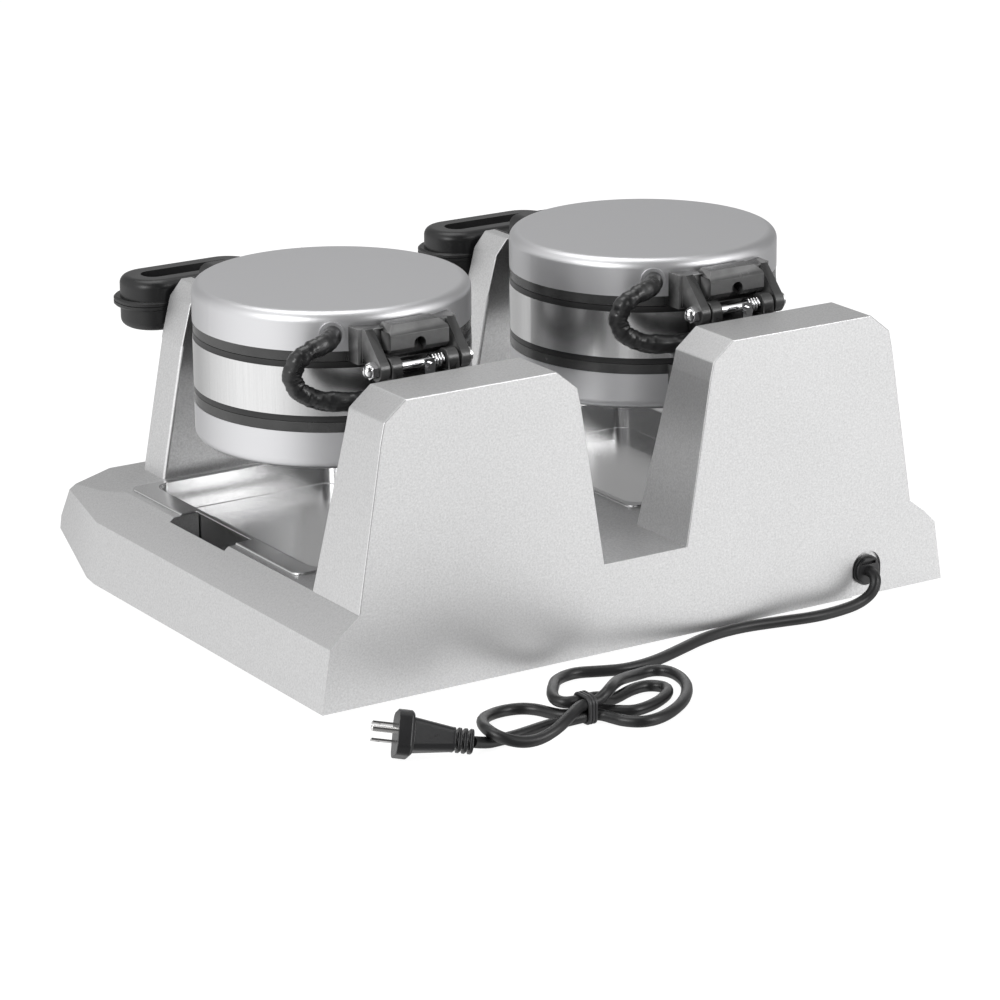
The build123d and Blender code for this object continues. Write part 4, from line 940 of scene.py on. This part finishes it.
@dataclass
class Studio:
    """A pale floor, a white background, panels that metal sees, three soft lamps and the camera.

    The camera stands at the photograph's viewing angle. Each panel has its angle in degrees, measured
    round the machine from the camera, and its brightness. Each lamp has its name, place, size and watts.
    """

    eye: tuple[float, float, float] = (1.71523, 2.75174, 1.07101)
    azimuth: float = 0.56299
    elevation: float = 0.30234
    roll: float = -0.00922
    lens: float = 148.57
    soft_level: float = 0.35
    floor_level: float = 0.3
    floor_white: float = 0.93
    floor_color: tuple[float, float, float, float] = (0.22, 0.22, 0.22, 1.0)
    floor_radius: float = 12.0
    full_level: float = 2.0
    white: tuple[float, float, float, float] = (1.0, 1.0, 1.0, 1.0)
    aim: tuple[float, float, float] = (0.0, 0.0, 0.12)
    panel_group: str = "studio panels"
    lamps: tuple[tuple, ...] = (
        ("key_lamp", (2.3, 0.9, 1.2), 1.2, 30.0),
        ("fill_lamp", (-1.2, 2.6, 1.3), 1.2, 26.0),
        ("top_lamp", (0.0, -0.6, 2.4), 1.6, 22.0),
    )
    panels: tuple[tuple[float, float], ...] = (
        (-180, 0.46), (-140, 0.4), (-112, 0.85), (-80, 1.2), (-45, 1.1), (-24, 0.6), (-6, 0.2), (8, 0.08),
        (44, 0.1), (56, 0.8), (68, 1.35), (92, 1.25), (108, 0.3), (140, 0.3), (180, 0.46),
    )

    def add_camera(self) -> None:
        """Adds the camera at the photograph's viewing angle."""
        data = bpy.data.cameras.new("camera")
        data.lens = self.lens
        data.sensor_width = 36.0
        data.clip_start, data.clip_end = 0.1, 100.0
        camera = bpy.data.objects.new("camera", data)
        bpy.context.scene.collection.objects.link(camera)
        flat = math.cos(self.elevation)
        back = Vector((
            math.sin(self.azimuth) * flat,
            math.cos(self.azimuth) * flat,
            math.sin(self.elevation),
        ))
        camera.location = self.eye
        camera.rotation_mode = "QUATERNION"
        camera.rotation_quaternion = back.to_track_quat("Z", "Y") @ Quaternion((0.0, 0.0, 1.0), self.roll)
        bpy.context.scene.camera = camera

    def make_panels(self) -> bpy.types.NodeTree:
        """Builds the group that says how bright the studio is in a direction, as metal sees it.

        Returns:
            A group that gives Level from Direction: soft boxes beside the camera, dark card between.
        """
        inputs, outputs = {"Direction": "NodeSocketVector"}, {"Level": "NodeSocketFloat"}
        w, given, result = new_group(self.panel_group, inputs, outputs)
        toward = (math.sin(self.azimuth), math.cos(self.azimuth), 0.0)
        across = (-math.cos(self.azimuth), math.sin(self.azimuth), 0.0)
        turned = []
        for axis in (across, toward):
            both = {0: given.outputs["Direction"], 1: axis}
            dot = w.add("ShaderNodeVectorMath", both, operation="DOT_PRODUCT")
            turned.append(dot.outputs["Value"])
        angle = w.math("ARCTAN2", *turned)
        place = w.add("ShaderNodeMapRange", {"Value": angle, "From Min": -math.pi, "From Max": math.pi})
        ramp = w.add("ShaderNodeValToRGB", {"Fac": place.outputs[0]})
        stops = ramp.color_ramp.elements
        while len(stops) < len(self.panels):
            stops.new(0.5)
        for stop, (degrees, level) in zip(stops, self.panels):
            share = level / self.full_level
            stop.position = (degrees + 180) / 360
            stop.color = (share, share, share, 1.0)
        w.put(result, "Level", w.math("MULTIPLY", ramp.outputs["Color"], self.full_level))
        return w.tree

    def light_level(
        self, w: Wiring, way: bpy.types.NodeSocket, eye: float, soft: float
    ) -> bpy.types.NodeSocket:
        """Gives how bright a surface of the studio is for the ray that meets it.

        Args:
            w: The wiring of the material or world.
            way: The ray's direction.
            eye: The level for the camera and clear glass.
            soft: The level for diffuse light.

        Returns:
            The level's socket.
        """
        path = w.add("ShaderNodeLightPath")
        seen = w.math("MAXIMUM", path.outputs["Is Camera Ray"], path.outputs["Is Transmission Ray"])
        level = w.add("ShaderNodeGroup", {"Direction": way}, node_tree=bpy.data.node_groups[self.panel_group])
        glossy = w.math("MULTIPLY", path.outputs["Is Glossy Ray"], level.outputs["Level"])
        rest = w.math("MULTIPLY", path.outputs["Is Diffuse Ray"], soft)
        return w.math("ADD", w.math("MULTIPLY", seen, eye), w.math("ADD", glossy, rest))

    def add_world(self) -> None:
        """Makes the world white to the eye and a ring of soft boxes and dark card to metal."""
        world = bpy.data.worlds.new("studio")
        w = clear_wiring(world)
        way = w.add("ShaderNodeTexCoord").outputs["Generated"]
        level = self.light_level(w, way, 1.0, self.soft_level)
        light = w.add("ShaderNodeBackground", {"Color": self.white, "Strength": level})
        w.add("ShaderNodeOutputWorld", {"Surface": light.outputs[0]})
        bpy.context.scene.world = world

    def add_floor(self) -> None:
        """Adds the floor, which keeps the object's shadow."""
        mesh = bmesh.new()
        bmesh.ops.create_circle(mesh, cap_ends=True, segments=64, radius=self.floor_radius)
        data = bpy.data.meshes.new("floor")
        mesh.to_mesh(data)
        mesh.free()
        floor = bpy.data.objects.new("floor", data)
        bpy.context.scene.collection.objects.link(floor)
        material = bpy.data.materials.new("floor_paper")
        w = clear_wiring(material)
        paper = w.add("ShaderNodeBsdfDiffuse", {"Color": self.floor_color})
        back = w.add("ShaderNodeNewGeometry").outputs["Incoming"]
        way = w.add("ShaderNodeVectorMath", {0: back, "Scale": -1.0}, operation="SCALE").outputs[0]
        level = self.light_level(w, way, self.floor_white, self.floor_level)
        glow = w.add("ShaderNodeEmission", {"Color": self.white, "Strength": level})
        both = w.add("ShaderNodeAddShader", {0: paper.outputs[0], 1: glow.outputs[0]})
        w.add("ShaderNodeOutputMaterial", {"Surface": both.outputs[0]})
        data.materials.append(material)

    def add_lamp(self, name: str, place: tuple[float, float, float], size: float, watts: float) -> None:
        """Adds one square soft lamp that points at the object.

        Args:
            name: Its name.
            place: Where it stands, in metres.
            size: The length of its side in metres.
            watts: Its power.
        """
        data = bpy.data.lights.new(name, "AREA")
        data.size = size
        data.energy = watts
        lamp = bpy.data.objects.new(name, data)
        lamp.location = place
        lamp.rotation_mode = "QUATERNION"
        lamp.rotation_quaternion = (Vector(self.aim) - Vector(place)).to_track_quat("-Z", "Y")
        bpy.context.scene.collection.objects.link(lamp)

    def build(self) -> None:
        """Builds the studio."""
        scene = bpy.context.scene
        scene.view_settings.view_transform = "Standard"
        self.add_camera()
        self.make_panels()
        self.add_world()
        self.add_floor()
        for lamp in self.lamps:
            self.add_lamp(*lamp)


def main() -> None:
    """Builds the studio and every sub-assembly in order."""
    logging.basicConfig(level=logging.INFO, format="%(name)s: %(message)s")
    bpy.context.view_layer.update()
    Studio().build()
    PowerCord().build()
    SheetBase().build()
    Uprights().build()
    ControlFace().build()
    for name, side in SIDES.items():
        DripTray(name).build()
        WaffleHead(name, side).build()


if __name__ == "__main__":
    main()
